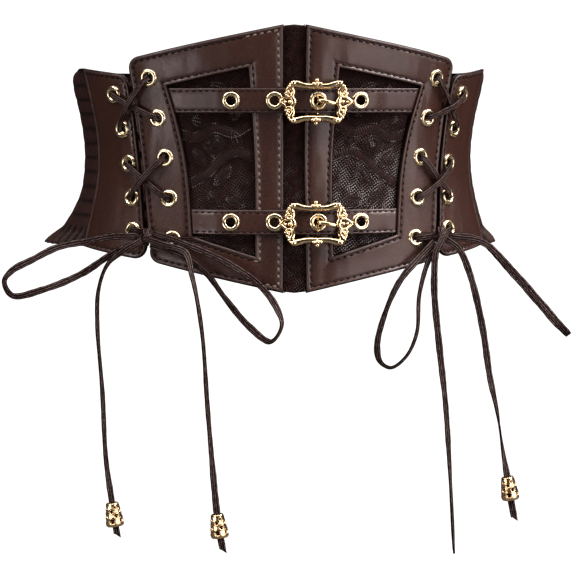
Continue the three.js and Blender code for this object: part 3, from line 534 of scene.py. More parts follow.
def weave_group():
    """Plain weave: raised threads both ways on a slant."""
    tree, n, given, out = group_tree("plain_weave", {"Vector": None, "Density": 900.0}, ("Height", "Gap"))
    parts = n.add("ShaderNodeSeparateXYZ", Vector=given[0]).outputs
    waves = []
    for axis, slant in ((0, -0.35), (2, 0.35)):
        slope = n.plus(parts[axis], n.times(parts[2 - axis], slant))
        waves.append(n.maths("SINE", n.times(n.times(slope, given[1]), FULL_WAVE)))
    high = n.maths("MAXIMUM", *waves)
    n.fill(out, Height=n.times(high, 0.5), Gap=n.span(high, -0.4, 0.3, 1.0, 0.0))
    return tree


def patina_group():
    """Cast metal: soft polish marks, small pits and cloudy darker patches of tarnish."""
    tree, n, given, out = group_tree("cast_patina", {"Vector": None}, ("Height", "Tarnish", "Rough"))
    cloud = n.noise(given[0], 260.0, 4.0)
    pits = n.noise(given[0], 1500.0, 2.0)
    height = n.plus(n.times(cloud, 0.6), n.times(pits, 0.4))
    n.fill(out, Height=height, Tarnish=n.span(cloud, 0.5, 0.75, 0.0, 1.0),
           Rough=n.span(n.noise(given[0], 600.0), 0.3, 0.8, 0.07, 0.2))
    return tree


EFFECTS = {}
MATERIALS = {}


def effect(nodes, make, **inputs):
    """Places a shared effect in a material, building it the first time."""
    if make not in EFFECTS:
        EFFECTS[make] = make()
    node = nodes.add("ShaderNodeGroup", {"node_tree": EFFECTS[make]}, **inputs)
    return node.outputs


def material(name):
    """Turns a function that lays nodes into one that gives the named material, built once."""
    def wrap(lay):
        def give():
            if name not in MATERIALS:
                made = bpy.data.materials.new(name)
                made.use_nodes = True
                made.node_tree.nodes.clear()
                nodes = Nodes(made.node_tree)
                shader = nodes.add("ShaderNodeBsdfPrincipled")
                nodes.put(nodes.add("ShaderNodeOutputMaterial").inputs[0], shader.outputs[0])
                lay(nodes, shader.inputs, nodes.add("ShaderNodeTexCoord").outputs["Object"])
                MATERIALS[name] = made
            return MATERIALS[name]
        return give
    return wrap


def colours():
    return bpy.context.scene.belt_colours


def tint(colour, share=1.0, lift=0.0):
    return tuple(c * share + lift for c in colour[:3]) + (1.0,)


def tones(n, where, base, light, deep, density):
    """Cloudy colour between a lighter and a deeper share of a base colour."""
    return effect(n, tone_group, Vector=where, Light=tint(base, light), Deep=tint(base, deep),
                  Density=density)


def hide_with_edge_paint_and_rim_light(n, where, grain_density, light, deep, density):
    """Grained leather with dark creases, a painted highlight on its rolled lip, dark paint on its cut rim and
    painted shade in its sewn groove.
    """
    base = colours().leather
    grain = effect(n, grain_group, Vector=where, Density=grain_density)
    tone = tones(n, where, base, light, deep, density)
    creased = n.blend(n.times(grain[1], 0.4), tone[0], tint(base, 0.45))
    marked = n.attribute("rim")
    # The rim mark below nought is the rolled lip's painted highlight; above nought it is dark edge paint at
    # the cut edge and painted shade in the sewn groove.
    lip = n.maths("MULTIPLY", marked, -1.0, clamp=True)
    rim = n.maths("MAXIMUM", marked, 0.0)
    with_painted_highlight = n.blend(n.times(lip, 0.7), creased, tint(base, 0.7, 0.06))
    return grain, tone, rim, n.blend(rim, with_painted_highlight, tint(base, 0.12))


UPRIGHT_STRETCH = (1.0, 1.0, 0.35)


@material("faux_leather")
def leather(n, shader, where):
    grain, tone, rim, colour = hide_with_edge_paint_and_rim_light(n, where, 1150.0, 1.12, 0.85, 34.0)
    rough = n.plus(n.times(tone[1], 0.08), n.times(grain[1], 0.14))
    upright = n.add("ShaderNodeVectorMath", {"operation": "MULTIPLY"}, Vector=where)
    n.put(upright.inputs[1], UPRIGHT_STRETCH)
    swell = n.times(n.noise(upright.outputs[0], 38.0, 2.0), 48.0)
    n.fill(shader, Base_Color=colour, Roughness=n.plus(rough, 0.18),
           Specular_IOR_Level=n.fade(rim, 0.6, 0.12),
           Normal=n.bump(n.plus(grain[0], swell), 0.0001, 0.6))


@material("strap_leather")
def strap_leather(n, shader, where):
    grain, tone, rim, colour = hide_with_edge_paint_and_rim_light(n, where, 1300.0, 1.1, 0.8, 60.0)
    n.fill(shader, Base_Color=colour, Roughness=n.fade(tone[1], 0.26, 0.36),
           Specular_IOR_Level=n.fade(rim, 0.7, 0.12), Normal=n.bump(grain[0], 0.0001, 0.5))


# The colour of the painted highlight on stitches that catch the light.
THREAD_HIGHLIGHT = (0.21, 0.155, 0.135, 1.0)


@material("sewing_thread")
def thread(n, shader, where):
    tone = tones(n, where, colours().thread, 1.25, 0.7, 700.0)
    # The pale blend is a painted highlight for stitches that catch the light.
    n.fill(shader, Base_Color=n.blend(n.attribute("pale"), tone[0], THREAD_HIGHLIGHT),
           Roughness=n.fade(tone[1], 0.45, 0.65), Specular_IOR_Level=0.25,
           Normal=n.bump(n.noise(where, 3500.0, 1.0), 0.00008, 0.6))


@material("window_lining")
def lining(n, shader, where):
    base = colours().lace
    weave = effect(n, weave_group, Vector=where, Density=1400.0)
    tone = tones(n, where, base, 0.5, 0.25, 80.0)
    n.fill(shader, Base_Color=n.blend(weave[1], tone[0], tint(base, 0.12)),
           Roughness=n.fade(weave[1], 0.6, 0.8), Specular_IOR_Level=0.2,
           Normal=n.bump(weave[0], 0.00015, 0.7))


def plied(n, where):
    """Ribs that follow one another along a thread, and the normal they give."""
    ribs = n.maths("SINE", n.times(n.attribute("ply"), FULL_WAVE))
    return ribs, n.bump(n.plus(n.times(ribs, 0.5), n.noise(where, 1400.0, 2.0)), 0.0003, 1.0)


@material("lace_thread")
def lace_thread(n, shader, where):
    """Glossy thread of the net: dark where it lies in shade, silvery where it catches the light."""
    base = colours().lace
    tone = tones(n, where, base, 0.7, 0.3, 160.0)
    ribs, normal = plied(n, where)
    bead = n.times(n.span(ribs, 0.0, 0.8, 0.0, 1.0), n.attribute("shine"))
    glint = n.times(bead, n.span(n.noise(where, 130.0, 2.0), 0.4, 0.6, 0.3, 1.0))
    n.fill(shader, Base_Color=n.blend(glint, tone[0], tint(base, 0.5, 0.36)),
           Roughness=n.fade(glint, 0.55, 0.3), Specular_IOR_Level=n.fade(glint, 0.2, 0.9), Normal=normal)


@material("flower_thread")
def flower_thread(n, shader, where):
    """Dense dark satin, ribbed like a leaf, with painted glints dotted along the cord round it."""
    base = colours().lace
    tone = tones(n, where, base, 0.6, 0.3, 220.0)
    ribs, normal = plied(n, where)
    dots = n.times(n.attribute("edge"), n.span(ribs, -0.3, 0.8, 0.0, 1.0))
    glint = n.times(dots, n.span(n.noise(where, 150.0), 0.48, 0.66, 0.0, 0.9))
    satin = n.blend(n.span(ribs, -1.0, 1.0, 0.5, 0.0), tone[0], tint(base, 0.2))
    n.fill(shader, Base_Color=n.blend(glint, satin, tint(base, 0.5, 0.3)),
           Roughness=n.span(ribs, -1.0, 1.0, 0.6, 0.35), Specular_IOR_Level=n.fade(glint, 0.3, 0.8),
           Normal=normal)


@material("shirred_elastic")
def elastic(n, shader, where):
    base = colours().elastic
    weave = effect(n, weave_group, Vector=where, Density=1100.0)
    tone = tones(n, where, base, 1.2, 0.8, 50.0)
    # Painted shade from the marked fold value: dark in the gathers' hollows, along the shirring rows and in
    # the ruffle's slots.
    shaded = n.blend(n.fade(n.attribute("fold"), 1.0, 0.0), tone[0], tint(base, 0.1))
    n.fill(shader, Base_Color=n.blend(n.times(weave[1], 0.35), shaded, tint(base, 0.4)),
           Roughness=n.fade(weave[1], 0.6, 0.8), Specular_IOR_Level=0.3,
           Normal=n.bump(weave[0], 0.00012, 0.6))


# Painted light on the laces: a broad painted sheen, painted glints in streaks, and painted shade for the
# folds' hollows.
CORD_SHEEN = (0.16, 0.125, 0.12, 1.0)
CORD_GLINT = (0.21, 0.155, 0.145, 1.0)
CORD_HOLLOW_SHADE = (0.004, 0.002, 0.002, 1.0)


@material("lace_cord")
def cord_leather(n, shader, where):
    """Folded leather lace: painted shade in its hollows, and painted glints in streaks and a broad painted
    sheen along its crests.
    """
    base = colours().cord
    grain = effect(n, grain_group, Vector=where, Density=1500.0)
    tone = tones(n, where, base, 1.3, 0.7, 240.0)
    side = n.attribute("side")
    crest = n.span(n.maths("COSINE", n.times(n.plus(side, 1.0), FOLDS * math.pi)), -0.8, 0.7, 1.0, 0.0)
    lengthwise = n.add("ShaderNodeCombineXYZ", X=n.times(side, 5.0),
                       Y=n.times(n.attribute("run"), 330.0)).outputs[0]
    creased = n.blend(n.times(grain[1], 0.55), tone[0], tint(base, 0.35))
    # Painted glints in lengthwise streaks, and a broad painted sheen that comes and goes along the lace.
    streak_glint = n.span(n.noise(lengthwise, 1.0), 0.47, 0.6, 0.0, 1.0)
    painted_sheen = n.span(n.noise(where, 42.0, 1.0), 0.5, 0.66, 0.0, 0.38)
    with_painted_highlight = n.blend(n.times(streak_glint, 0.75), n.blend(painted_sheen, creased, CORD_SHEEN), CORD_GLINT)
    # The crests take the painted highlights, and the hollows a painted shade.
    n.fill(shader, Base_Color=n.blend(crest, n.blend(0.6, creased, CORD_HOLLOW_SHADE), with_painted_highlight),
           Roughness=n.fade(grain[1], 0.36, 0.55), Specular_IOR_Level=n.fade(crest, 0.05, 0.4),
           Normal=n.bump(n.plus(grain[0], n.noise(where, 900.0)), 0.00022, 0.75))


@material("cast_gilt")
def gilt(n, shader, where):
    base = colours().gold
    cast = effect(n, patina_group, Vector=where)
    n.fill(shader, Base_Color=n.blend(cast[1], tint(base), tint(base, 0.7)), Roughness=cast[2], Metallic=1.0,
           Normal=n.bump(cast[0], 0.00006, 0.5))


GILT_HOLE_SHADE = (0.02, 0.008, 0.004, 1.0)


def hollowed_gilt(n, shader, where, base):
    """Smooth gilt, with near-black painted shade where a hole or a deep groove is marked."""
    cast = effect(n, patina_group, Vector=where)
    aged = n.blend(cast[1], tint(base), tint(base, 0.8))
    n.fill(shader, Base_Color=n.blend(n.attribute("hollow"), aged, GILT_HOLE_SHADE),
           Roughness=n.plus(cast[2], 0.12), Metallic=1.0, Normal=n.bump(cast[0], 0.00001, 0.3))


@material("rolled_gilt")
def eyelet_gilt(n, shader, where):
    hollowed_gilt(n, shader, where, colours().eyelet)


@material("pierced_gilt")
def bead_gilt(n, shader, where):
    hollowed_gilt(n, shader, where, colours().bead)


WHITE = (1.0, 1.0, 1.0, 1.0)
PAPER_BOUNCE = (0.1, 0.1, 0.1, 1.0)


@material("studio_paper")
def paper(n, shader, where):
    """Pale studio paper, seen as white, that gives the belt little light of its own."""
    tone = tones(n, where, WHITE, 0.93, 0.9, 3.0)
    camera_ray = n.add("ShaderNodeLightPath").outputs["Is Camera Ray"]
    n.fill(shader, Base_Color=n.blend(camera_ray, PAPER_BOUNCE, tone[0]), Roughness=n.fade(tone[1], 0.7, 0.8))
    mix = n.add("ShaderNodeMixShader")
    n.put(mix.inputs[0], n.times(camera_ray, 0.97))
    out = next(node for node in n.tree.nodes if node.type == "OUTPUT_MATERIAL")
    n.put(mix.inputs[1], out.inputs[0].links[0].from_socket)
    n.put(mix.inputs[2], n.add("ShaderNodeEmission", Color=WHITE, Strength=1.0).outputs[0])
    n.put(out.inputs[0], mix.outputs[0])


# Outlines drawn flat on the body as (along, z).
def offset_corner(before, corner, after, distance):
    """Where the two edges at a corner meet once both have moved in, on a counter-clockwise outline."""
    first = unit(np.subtract(corner, before))
    second = unit(np.subtract(after, corner))
    n1 = np.array([-first[1], first[0]])
    n2 = np.array([-second[1], second[0]])
    middle = unit(n1 + n2)
    return np.asarray(corner, float) + middle * distance / max(float(middle @ n1), 0.3)


def outline(corners, distance, per_side, bulges=None, rounding=None):
    """A four-sided outline moved in by a distance, with as many points a side."""
    inset = [offset_corner(corners[i - 1], corners[i], corners[(i + 1) % 4], distance) for i in range(4)]
    points = []
    for side in range(4):
        shares = np.arange(per_side) / per_side
        start = np.asarray(corners[side], float)
        end = np.asarray(corners[(side + 1) % 4], float)
        row = inset[side] + (inset[(side + 1) % 4] - inset[side]) * shares[:, None]
        if bulges and bulges[side]:
            flat = start + (end - start) * shares[:, None]
            row = row + bulges[side](flat)
        points.append(row)
    points = np.vstack(points)
    return rounding(points, distance) if rounding else points


def fillet(before, corner, after, radius):
    """The centre of the round that touches both edges at a corner, and the ways in and out."""
    arriving = unit(np.subtract(corner, before))
    leaving = unit(np.subtract(after, corner))
    return offset_corner(before, corner, after, radius), arriving, leaving


def round_by(fillets, radius):
    """Pulls the points beyond some corners on to their rounds."""
    def rounding(points, distance):
        points = points.copy()
        reach = max(radius - distance, 0.15)
        for centre, arriving, leaving in fillets:
            offset = points - centre
            size = np.linalg.norm(offset, axis=1)
            far = (offset @ arriving > 0) & (offset @ leaving < 0) & (size > reach)
            points[far] = centre + offset[far] / size[far, None] * reach
        return points
    return rounding


def edge_bulge(edge):
    def bulge(flat):
        return np.stack([edge(flat[:, 1]) - flat[:, 0], np.zeros(len(flat))], -1)
    return bulge


PER_SIDE = 84
LOW_CORNER = (float(panel_edge(-65.0)), -65.0)
PANEL_ROUNDS = (fillet(PANEL_CORNERS[0], LOW_CORNER, (float(panel_edge(-56.0)), -56.0), PANEL_ROUND),
                fillet((PANEL_OUTER, 15.0), PANEL_CORNERS[2], PANEL_CORNERS[3], PANEL_ROUND))


def panel_outline(distance):
    corners = (PANEL_CORNERS[0], LOW_CORNER, PANEL_CORNERS[2], PANEL_CORNERS[3])
    return outline(corners, distance, PER_SIDE, (None, edge_bulge(panel_edge), None, None),
                   round_by(PANEL_ROUNDS, PANEL_ROUND))


def window_outline(distance):
    """The window's outline, moved outwards by a distance."""
    return outline(WINDOW_CORNERS, -distance, PER_SIDE)


RIM_STEPS = (0.0, 0.12, 0.4, 0.8, 1.3, 1.9, 2.4, 2.75, 3.0, 3.25, 3.6, 4.2, 5.0)
RIM_ROLL = 1.1
FACE_STEPS = 8
FACE_PUFF = 0.18
STITCH_INSET = 3.0


def rim_height(distance):
    """How the face rises and falls near a wrapped edge: a rounded roll, then the sewn groove."""
    distance = np.asarray(distance, float)
    turned = 1 - np.clip(distance / 1.5, 0, 1)
    fall = RIM_ROLL * (1 - np.sqrt(np.maximum(1 - turned ** 2, 0)))
    crown = 0.32 * np.exp(-((distance - 1.5) / 0.8) ** 2)
    groove = 0.4 * np.exp(-((distance - STITCH_INSET) / 1.0) ** 2)
    return crown - fall - groove


def rim_shade(distance):
    """Dark edge paint at the cut edge and painted shade in the sewn groove, and below nought a painted
    highlight on the rolled lip.
    """
    distance = np.asarray(distance, float)
    groove = 0.3 * np.exp(-((distance - STITCH_INSET) / 0.6) ** 2)
    lip = 0.75 * np.exp(-((distance - 1.45) / 0.5) ** 2)
    return np.maximum(groove, 1 - smooth_step(0.35, 0.95, distance)) - lip


def laid(points, out, side):
    """Flat points laid on the body; the left side is the mirror image."""
    return on_body(side * points[..., 0], points[..., 1], out)


class Rings:
    """Rings of points laid on one side of the body, each with its share of the rim's shade."""

    def __init__(self, side):
        self.side = side
        self.points = []
        self.shades = []

    def add(self, flat, out, shade):
        self.points.append(laid(flat, out, self.side))
        self.shades.append(np.broadcast_to(shade, (len(flat),)))


def leather_panel(name, side):
    """A wrapped front panel: rolled rims, sewn grooves, and the window's folded edge."""
    rings = Rings(side)
    rings.add(window_outline(0.0), PANEL_BACK, 1.0)
    for step in RIM_STEPS:
        rings.add(window_outline(step), PANEL_FRONT + rim_height(step), rim_shade(step))
    inner = window_outline(RIM_STEPS[-1])
    outer = panel_outline(RIM_STEPS[-1])
    for i in range(1, FACE_STEPS):
        share = i / FACE_STEPS
        puff = FACE_PUFF * math.sin(math.pi * share)
        rings.add(inner + (outer - inner) * share, PANEL_FRONT + puff, 0.0)
    for step in RIM_STEPS[::-1]:
        rings.add(panel_outline(step), PANEL_FRONT + rim_height(step), rim_shade(step))
    rings.add(panel_outline(0.0), PANEL_BACK + 0.5, 1.0)
    rings.add(panel_outline(0.5), PANEL_BACK, 1.0)
    for share in (0.25, 0.5, 0.75):
        rings.add(outer + (inner - outer) * share, PANEL_BACK, 0.0)
    rings.add(window_outline(0.5), PANEL_BACK, 1.0)
    faces = grid_faces(len(rings.points), len(inner), wrap_rows=True, wrap_columns=True)
    shell = Shell()
    shell.add(np.vstack(rings.points), faces, rim=np.concatenate(rings.shades))
    return turn_outward(shell.build(name, leather()))


def drill_holes(piece, seats):
    """Cuts the eyelets' holes through a sheet."""
    bpy.ops.object.select_all(action="DESELECT")
    cutter = Shell()
    for along, z, out in seats:
        normal = body_normal(along, z)
        middle = on_body(along, z, out)
        route = np.array([middle - normal * PUNCH_REACH, middle + normal * PUNCH_REACH])
        tube_mesh(cutter, route, HOLE_RADIUS, sides=20, up=(0.02, 0.01, 1))
    tool = turn_outward(cutter.build("eyelet_punch", leather()))
    cut = piece.modifiers.new("holes", "BOOLEAN")
    cut.operation = "DIFFERENCE"
    cut.solver = "EXACT"
    cut.object = tool
    bpy.context.view_layer.objects.active = piece
    piece.select_set(True)
    bpy.ops.object.modifier_apply(modifier=cut.name)
    bpy.data.objects.remove(tool)


INNER_BAND = 23.0
STITCH_RINGS = ((-1.0, 0.0), (-0.72, 0.75), (0.0, 1.0), (0.72, 0.75), (1.0, 0.0))


STITCH_SINK = 0.28
STITCH_LENGTH = 3.1
STITCH_HEIGHT = 0.55
STITCH_TILT = 0.16
STITCH_SIDES = 6


def stitches(shell, places, ways, normals, pale, width=1.7):
    """Sewn stitches: one small rounded thread at each place, some paler than the rest with a painted
    highlight.
    """
    across = unit(np.cross(normals, ways))
    ways = unit(ways + across * STITCH_TILT)
    across = unit(np.cross(normals, ways))
    angles = np.arange(STITCH_SIDES) * TURN / STITCH_SIDES
    half = STITCH_LENGTH / 2
    foot = -STITCH_HEIGHT * 0.6
    body = [(x * half, math.cos(a) * r * width / 2, math.sin(a) * r * STITCH_HEIGHT + (1 - r) * foot)
            for x, r in STITCH_RINGS[1:-1] for a in angles]
    template = np.array([(-half, 0, foot), *body, (half, 0, foot)])
    after = [(i + 1) % STITCH_SIDES for i in range(STITCH_SIDES)]
    faces = [(0, 1 + after[i], 1 + i) for i in range(STITCH_SIDES)]
    faces += grid_faces(3, STITCH_SIDES, wrap_columns=True, start=1)
    last = len(template) - 1
    faces += [(last, last - STITCH_SIDES + i, last - STITCH_SIDES + after[i]) for i in range(STITCH_SIDES)]
    for place, way, side, normal, light in zip(places, ways, across, normals, pale):
        points = place + template[:, :1] * way + template[:, 1:2] * side + template[:, 2:] * normal
        shell.add(points, faces, pale=light)


def stitch_outline(shell, points, side, out, pitch, closed=True):
    """A row of stitches along a flat outline laid on the body."""
    flat, _ = resample(points, 0.6, closed)
    solid = laid(flat, out, side)
    places, ways = resample(solid, pitch, closed)
    along, _ = resample(flat, pitch * lengths_along(flat)[-1] / lengths_along(solid)[-1], closed)
    count = min(len(places), len(along))
    normals = body_normal(side * along[:count, 0], along[:count, 1])
    # Stitches on the left panel's inner band are marked for a painted highlight.
    inner = (side < 0) & (along[:count, 0] < INNER_BAND)
    stitches(shell, places[:count], ways[:count], normals, np.where(inner, 1.0, 0.0))


def length_setting(name, description, default):
    return bpy.props.FloatProperty(name=name, description=description, default=default, min=0.001,
                                   unit="LENGTH")


def angle_setting(name, description, degrees):
    return bpy.props.FloatProperty(name=name, description=description, default=math.radians(degrees),
                                   subtype="ANGLE", unit="ROTATION")


def colour_setting(name, description, default):
    return bpy.props.FloatVectorProperty(name=name, description=description, default=default, subtype="COLOR",
                                         min=0.0, max=1.0)


class SizeSettings(bpy.types.PropertyGroup):
    """Sizes that a maker may change."""
    stitch_pitch: length_setting("Stitch pitch", "Distance from stitch to stitch", 0.0045)
    net_pitch: length_setting("Net pitch", "Distance between the net's threads", 0.0017)
    camera_turn: angle_setting("Camera turn", "Camera's angle round the belt", -6.0)
    camera_lift: angle_setting("Camera lift", "Camera's angle above the level", 4.5)


class ColourSettings(bpy.types.PropertyGroup):
    """Colours that a maker may change."""
    leather: colour_setting("Leather", "Panels and straps", (0.060, 0.026, 0.019))
    thread: colour_setting("Thread", "Sewing thread", (0.018, 0.008, 0.007))
    lace: colour_setting("Lace", "Net and flowers", (0.058, 0.018, 0.016))
    elastic: colour_setting("Elastic", "Gathered back", (0.046, 0.020, 0.016))
    cord: colour_setting("Laces", "Flat laces", (0.036, 0.015, 0.011))
    gold: colour_setting("Gilt", "Buckles and their tongues", (0.96, 0.74, 0.45))
    bead: colour_setting("Beads", "Pierced beads", (0.94, 0.69, 0.40))
    eyelet: colour_setting("Eyelets", "Rolled eyelets", (0.96, 0.80, 0.53))


def sizes():
    return bpy.context.scene.belt_sizes


def pitch_mm():
    return sizes().stitch_pitch / MM


# Builders of each piece.
def build_laces():
    for name, (faces, points) in LOOSE_LACES.items():
        route, shares = spline(points, 1.3)
        loop = name.startswith("loop")
        shell = Shell()
        band_mesh(shell, route, face_ways(faces, shares), LACE_WIDTH, LACE_THICK,
                  seed=len(name) + points[1][0], slant=0.0 if loop else TAIL_SLANT)
        long_name = name.replace("loop", "bow_loop").replace("tail", "lace_tail")
        piece = add_piece(shell, long_name, cord_leather, "cord", name)


# A bead's (radius, depth) section, and its rows of holes as (depth, share of a turn, radius).
BEAD_PROFILE = ((2.9, 0.0), (3.7, 0.1), (4.05, 0.6), (4.15, 1.2), (5.85, 12.6), (5.9, 13.6), (5.7, 14.6),
                (5.1, 15.3), (2.9, 15.5))
BEAD_HOLES = ((3.0, 0.0, 0.75), (5.4, 0.5, 0.95), (8.2, 0.0, 1.15), (11.6, 0.5, 1.45))
HOLES_ROUND = 5
BEAD_SIDES = 80
TAIL_SLANT = 4.0


def circle(across, other, sides):
    angles = np.arange(sides) * TURN / sides
    return np.cos(angles)[:, None] * across + np.sin(angles)[:, None] * other


def bead_relief(angles, depth):
    """How deep the piercing is (0 to 1) and how high the raised scrolls stand, round one ring."""
    hole = np.zeros(len(angles))
    scroll = np.zeros(len(angles))
    for level, shift, size in BEAD_HOLES:
        phase = angles * HOLES_ROUND / (2 * math.pi) + shift
        across = (phase - np.round(phase)) * 2 * math.pi / HOLES_ROUND * 5.2
        reach = np.hypot(across, (depth - level) * 1.05)
        hole = np.maximum(hole, 1 - smooth_step(size - 0.3, size + 0.25, reach))
        scroll = np.maximum(scroll, np.exp(-((reach - size - 0.6) / 0.35) ** 2))
    return hole, scroll


def build_beads():
    profile = np.array(BEAD_PROFILE)
    spans = list(BEAD_PROFILE[:4])
    for depth in np.arange(1.5, 13.4, 0.3):
        spans.append((float(np.interp(depth, profile[:, 1], profile[:, 0])), float(depth)))
    spans += list(BEAD_PROFILE[5:])
    angles = np.arange(BEAD_SIDES) * TURN / BEAD_SIDES
    for name, (top, foot) in BEADS.items():
        top = np.array(top)
        way = unit(np.subtract(foot, top))
        across = unit(np.cross(way, (0, 1, 0)))
        round_it = circle(across, np.cross(way, across), BEAD_SIDES)
        rings = []
        hollows = []
        for radius, depth in spans:
            hole, scroll = bead_relief(angles, depth)
            pierced = 1.3 < depth < 13.5
            sunk = radius + (0.2 * scroll - 1.5 * hole) * pierced
            rings.append(top + way * depth + sunk[:, None] * round_it)
            # The holes are only sunk into the surface, and painted shade darkens them.
            hollows.append(hole * pierced)
        shell = Shell()
        faces = grid_faces(len(rings), BEAD_SIDES, wrap_rows=True, wrap_columns=True)
        shell.add(np.vstack(rings), faces, hollow=np.concatenate(hollows))
        add_piece(shell, "gilt_" + name, bead_gilt, "gold", name)


# Each turn of the lace round a knot: its tilt, its reach forwards and upwards, its shift and its lean.
KNOT_TURNS = ((0.0, 3.6, 4.9, 0.0, 0.15), (1.25, 4.3, 4.4, 1.2, -0.5), (0.62, 4.0, 4.6, -1.0, 0.6))


def build_knots():
    angle = np.linspace(0, TURN, 41)
    for side, centre in KNOT_CENTRES.items():
        shell = Shell()
        centre = np.array(centre)
        for tilt, reach, rise, shift, lean in KNOT_TURNS:
            axis = np.array([math.sin(tilt), 0.0, math.cos(tilt)])
            side_way = np.array([math.cos(tilt), 0.0, -math.sin(tilt)])
            route = (centre + side_way * shift
                     + np.cos(angle)[:, None] * axis * rise
                     + np.sin(angle)[:, None] * np.array([0, -reach, 0])
                     + side_way * (lean * np.sin(angle))[:, None])
            ways = unit(route - centre - side_way * shift)
            band_mesh(shell, route, ways, LACE_WIDTH * 0.95, LACE_THICK, seed=tilt * 5)
        add_piece(shell, "bow_knot_wrap_" + side, cord_leather, "cord", "bow_knot_" + side)


# How far out the lace crosses behind and in front of the belt: over the other run, or under it.
BEHIND_CROSSINGS = (-3.0, -6.0)
FRONT_CROSSINGS = (10.2, 6.9)
TOP_CROSSING = -3.4
KNOT_REACH = 5.1


def lacing_route(side):
    """One lace a side, from the knot through both rows of eyelets and back."""
    front = [(a, z, PANEL_FRONT) for a, z in FRONT_ROW]
    rear = [(a, z, SIDE_OUT) for a, z in SIDE_ROW]
    stops = [rear[4], front[3], rear[2], front[1], rear[0], front[0], rear[1], front[2], rear[3], front[4]]
    knot = KNOT_PLACES["left" if side < 0 else "right"]
    knot_out = PANEL_FRONT + GAP + 1.3 + KNOT_RADIUS - 0.2
    last = len(stops) - 1
    spots = []

    def knot_end(stop):
        way = unit(np.subtract(stop[:2], knot[:2]))
        return (knot[0] + way[0] * KNOT_REACH, knot[1] + way[1] * KNOT_REACH, knot_out - 2)

    for i, stop in enumerate(stops):
        before = unit(np.subtract(stop[:2], (stops[i - 1] if i else knot)[:2]))
        after = unit(np.subtract((stops[i + 1] if i < last else knot)[:2], stop[:2]))
        goes_in = i % 2 == 0
        rim = BORE * 0.45
        back = 0.0 if stop[2] == PANEL_FRONT else -0.9
        face = stop[2] + 1.6 + LACE_THICK / 2 + GAP
        outs = (face, stop[2] + 1.2, back + 0.2, back - 2.2)
        if i == 0:
            spots.append(knot_end(stop))
        for shift, out in zip((-rim * before, (0, 0), (0, 0), rim * after), outs if goes_in else outs[::-1]):
            spots.append((stop[0] + shift[0], stop[1] + shift[1], out))
        if i == last:
            spots.append(knot_end(stop))
            break
        middle = np.add(stop[:2], stops[i + 1][:2]) / 2
        over = (side < 0) != (i < 4)
        if goes_in and i == 4:
            spots.append((*middle, TOP_CROSSING))
        else:
            over_out, under_out = BEHIND_CROSSINGS if goes_in else FRONT_CROSSINGS
            spots.append((*middle, over_out if over else under_out))
    spots = np.array(spots)
    return laid(spots, spots[:, 2], side)


def build_lacing():
    for name, side in SIDES:
        spots = lacing_route(side)
        faces = []
        across = None
        for i, spot in enumerate(spots):
            before = spots[max(i - 2, 0)]
            after = spots[min(i + 2, len(spots) - 1)]
            tangent = unit(spots[min(i + 1, len(spots) - 1)] - spots[max(i - 1, 0)])
            outward = unit(np.array([spot[0], spot[1] * 2, 0.0]))
            way = after - before
            way = way - outward * float(way @ outward)
            wanted = unit(np.cross(outward, way))
            if across is not None and float(wanted @ across) < 0:
                wanted = -wanted
            across = wanted if across is None else unit((across + wanted) / 2)
            faces.append(unit(np.cross(tangent, across)))
        route, shares = spline(spots, 1.0)
        shell = Shell()
        band_mesh(shell, route, face_ways(faces, shares), LACING_WIDTH, LACE_THICK, seed=side)
        add_piece(shell, "crossed_lacing_" + name, cord_leather, "cord", "lacing_" + name)


def build_front_panels():
    for name, side in SIDES:
        piece = leather_panel("wrapped_panel_" + name, side)
        drill_holes(piece, [(side * a, z, PANEL_FRONT) for a, z in FRONT_ROW])
        place_piece(piece, "leather", "front_panel_" + name)
        sewn = Shell()
        for edge in (panel_outline, window_outline):
            stitch_outline(sewn, edge(STITCH_INSET), side, PANEL_FRONT - STITCH_SINK, pitch_mm())
        add_piece(sewn, "panel_stitching_" + name, thread, "leather")


SIDE_POINTS = 44


def coons(ring):
    """A grid inside a four-sided ring of points, drawn from its sides."""
    n = SIDE_POINTS
    low = ring[0:n + 1]
    right = ring[n:2 * n + 1]
    high = ring[2 * n:3 * n + 1][::-1]
    left = np.vstack([ring[3 * n:], ring[:1]])[::-1]
    u = (np.arange(n + 1) / n)[None, :, None]
    v = (np.arange(n + 1) / n)[:, None, None]
    sides = low[None] * (1 - v) + high[None] * v + left[:, None] * (1 - u) + right[:, None] * u
    corner = ((1 - u) * (1 - v) * low[0] + u * (1 - v) * low[-1] + (1 - u) * v * high[0] + u * v * high[-1])
    return sides - corner


def side_outline(distance):
    low = (float(side_edge(-65.0)), -65.0)
    high = (PANEL_OUTER + SIDE_SLIT, 54.0)
    corners = (low, (SEAM_ALONG, -58.0), (SEAM_ALONG, SIDE_TOP_SEAM), high)
    rounds = (fillet(corners[2], high, (PANEL_OUTER + SIDE_SLIT, 30.0), SIDE_ROUND),
              fillet((float(side_edge(-56.0)), -56.0), low, corners[1], SIDE_ROUND))
    bulges = (None, None, None, edge_bulge(side_edge))
    return outline(corners, distance, SIDE_POINTS, bulges, round_by(rounds, SIDE_ROUND))


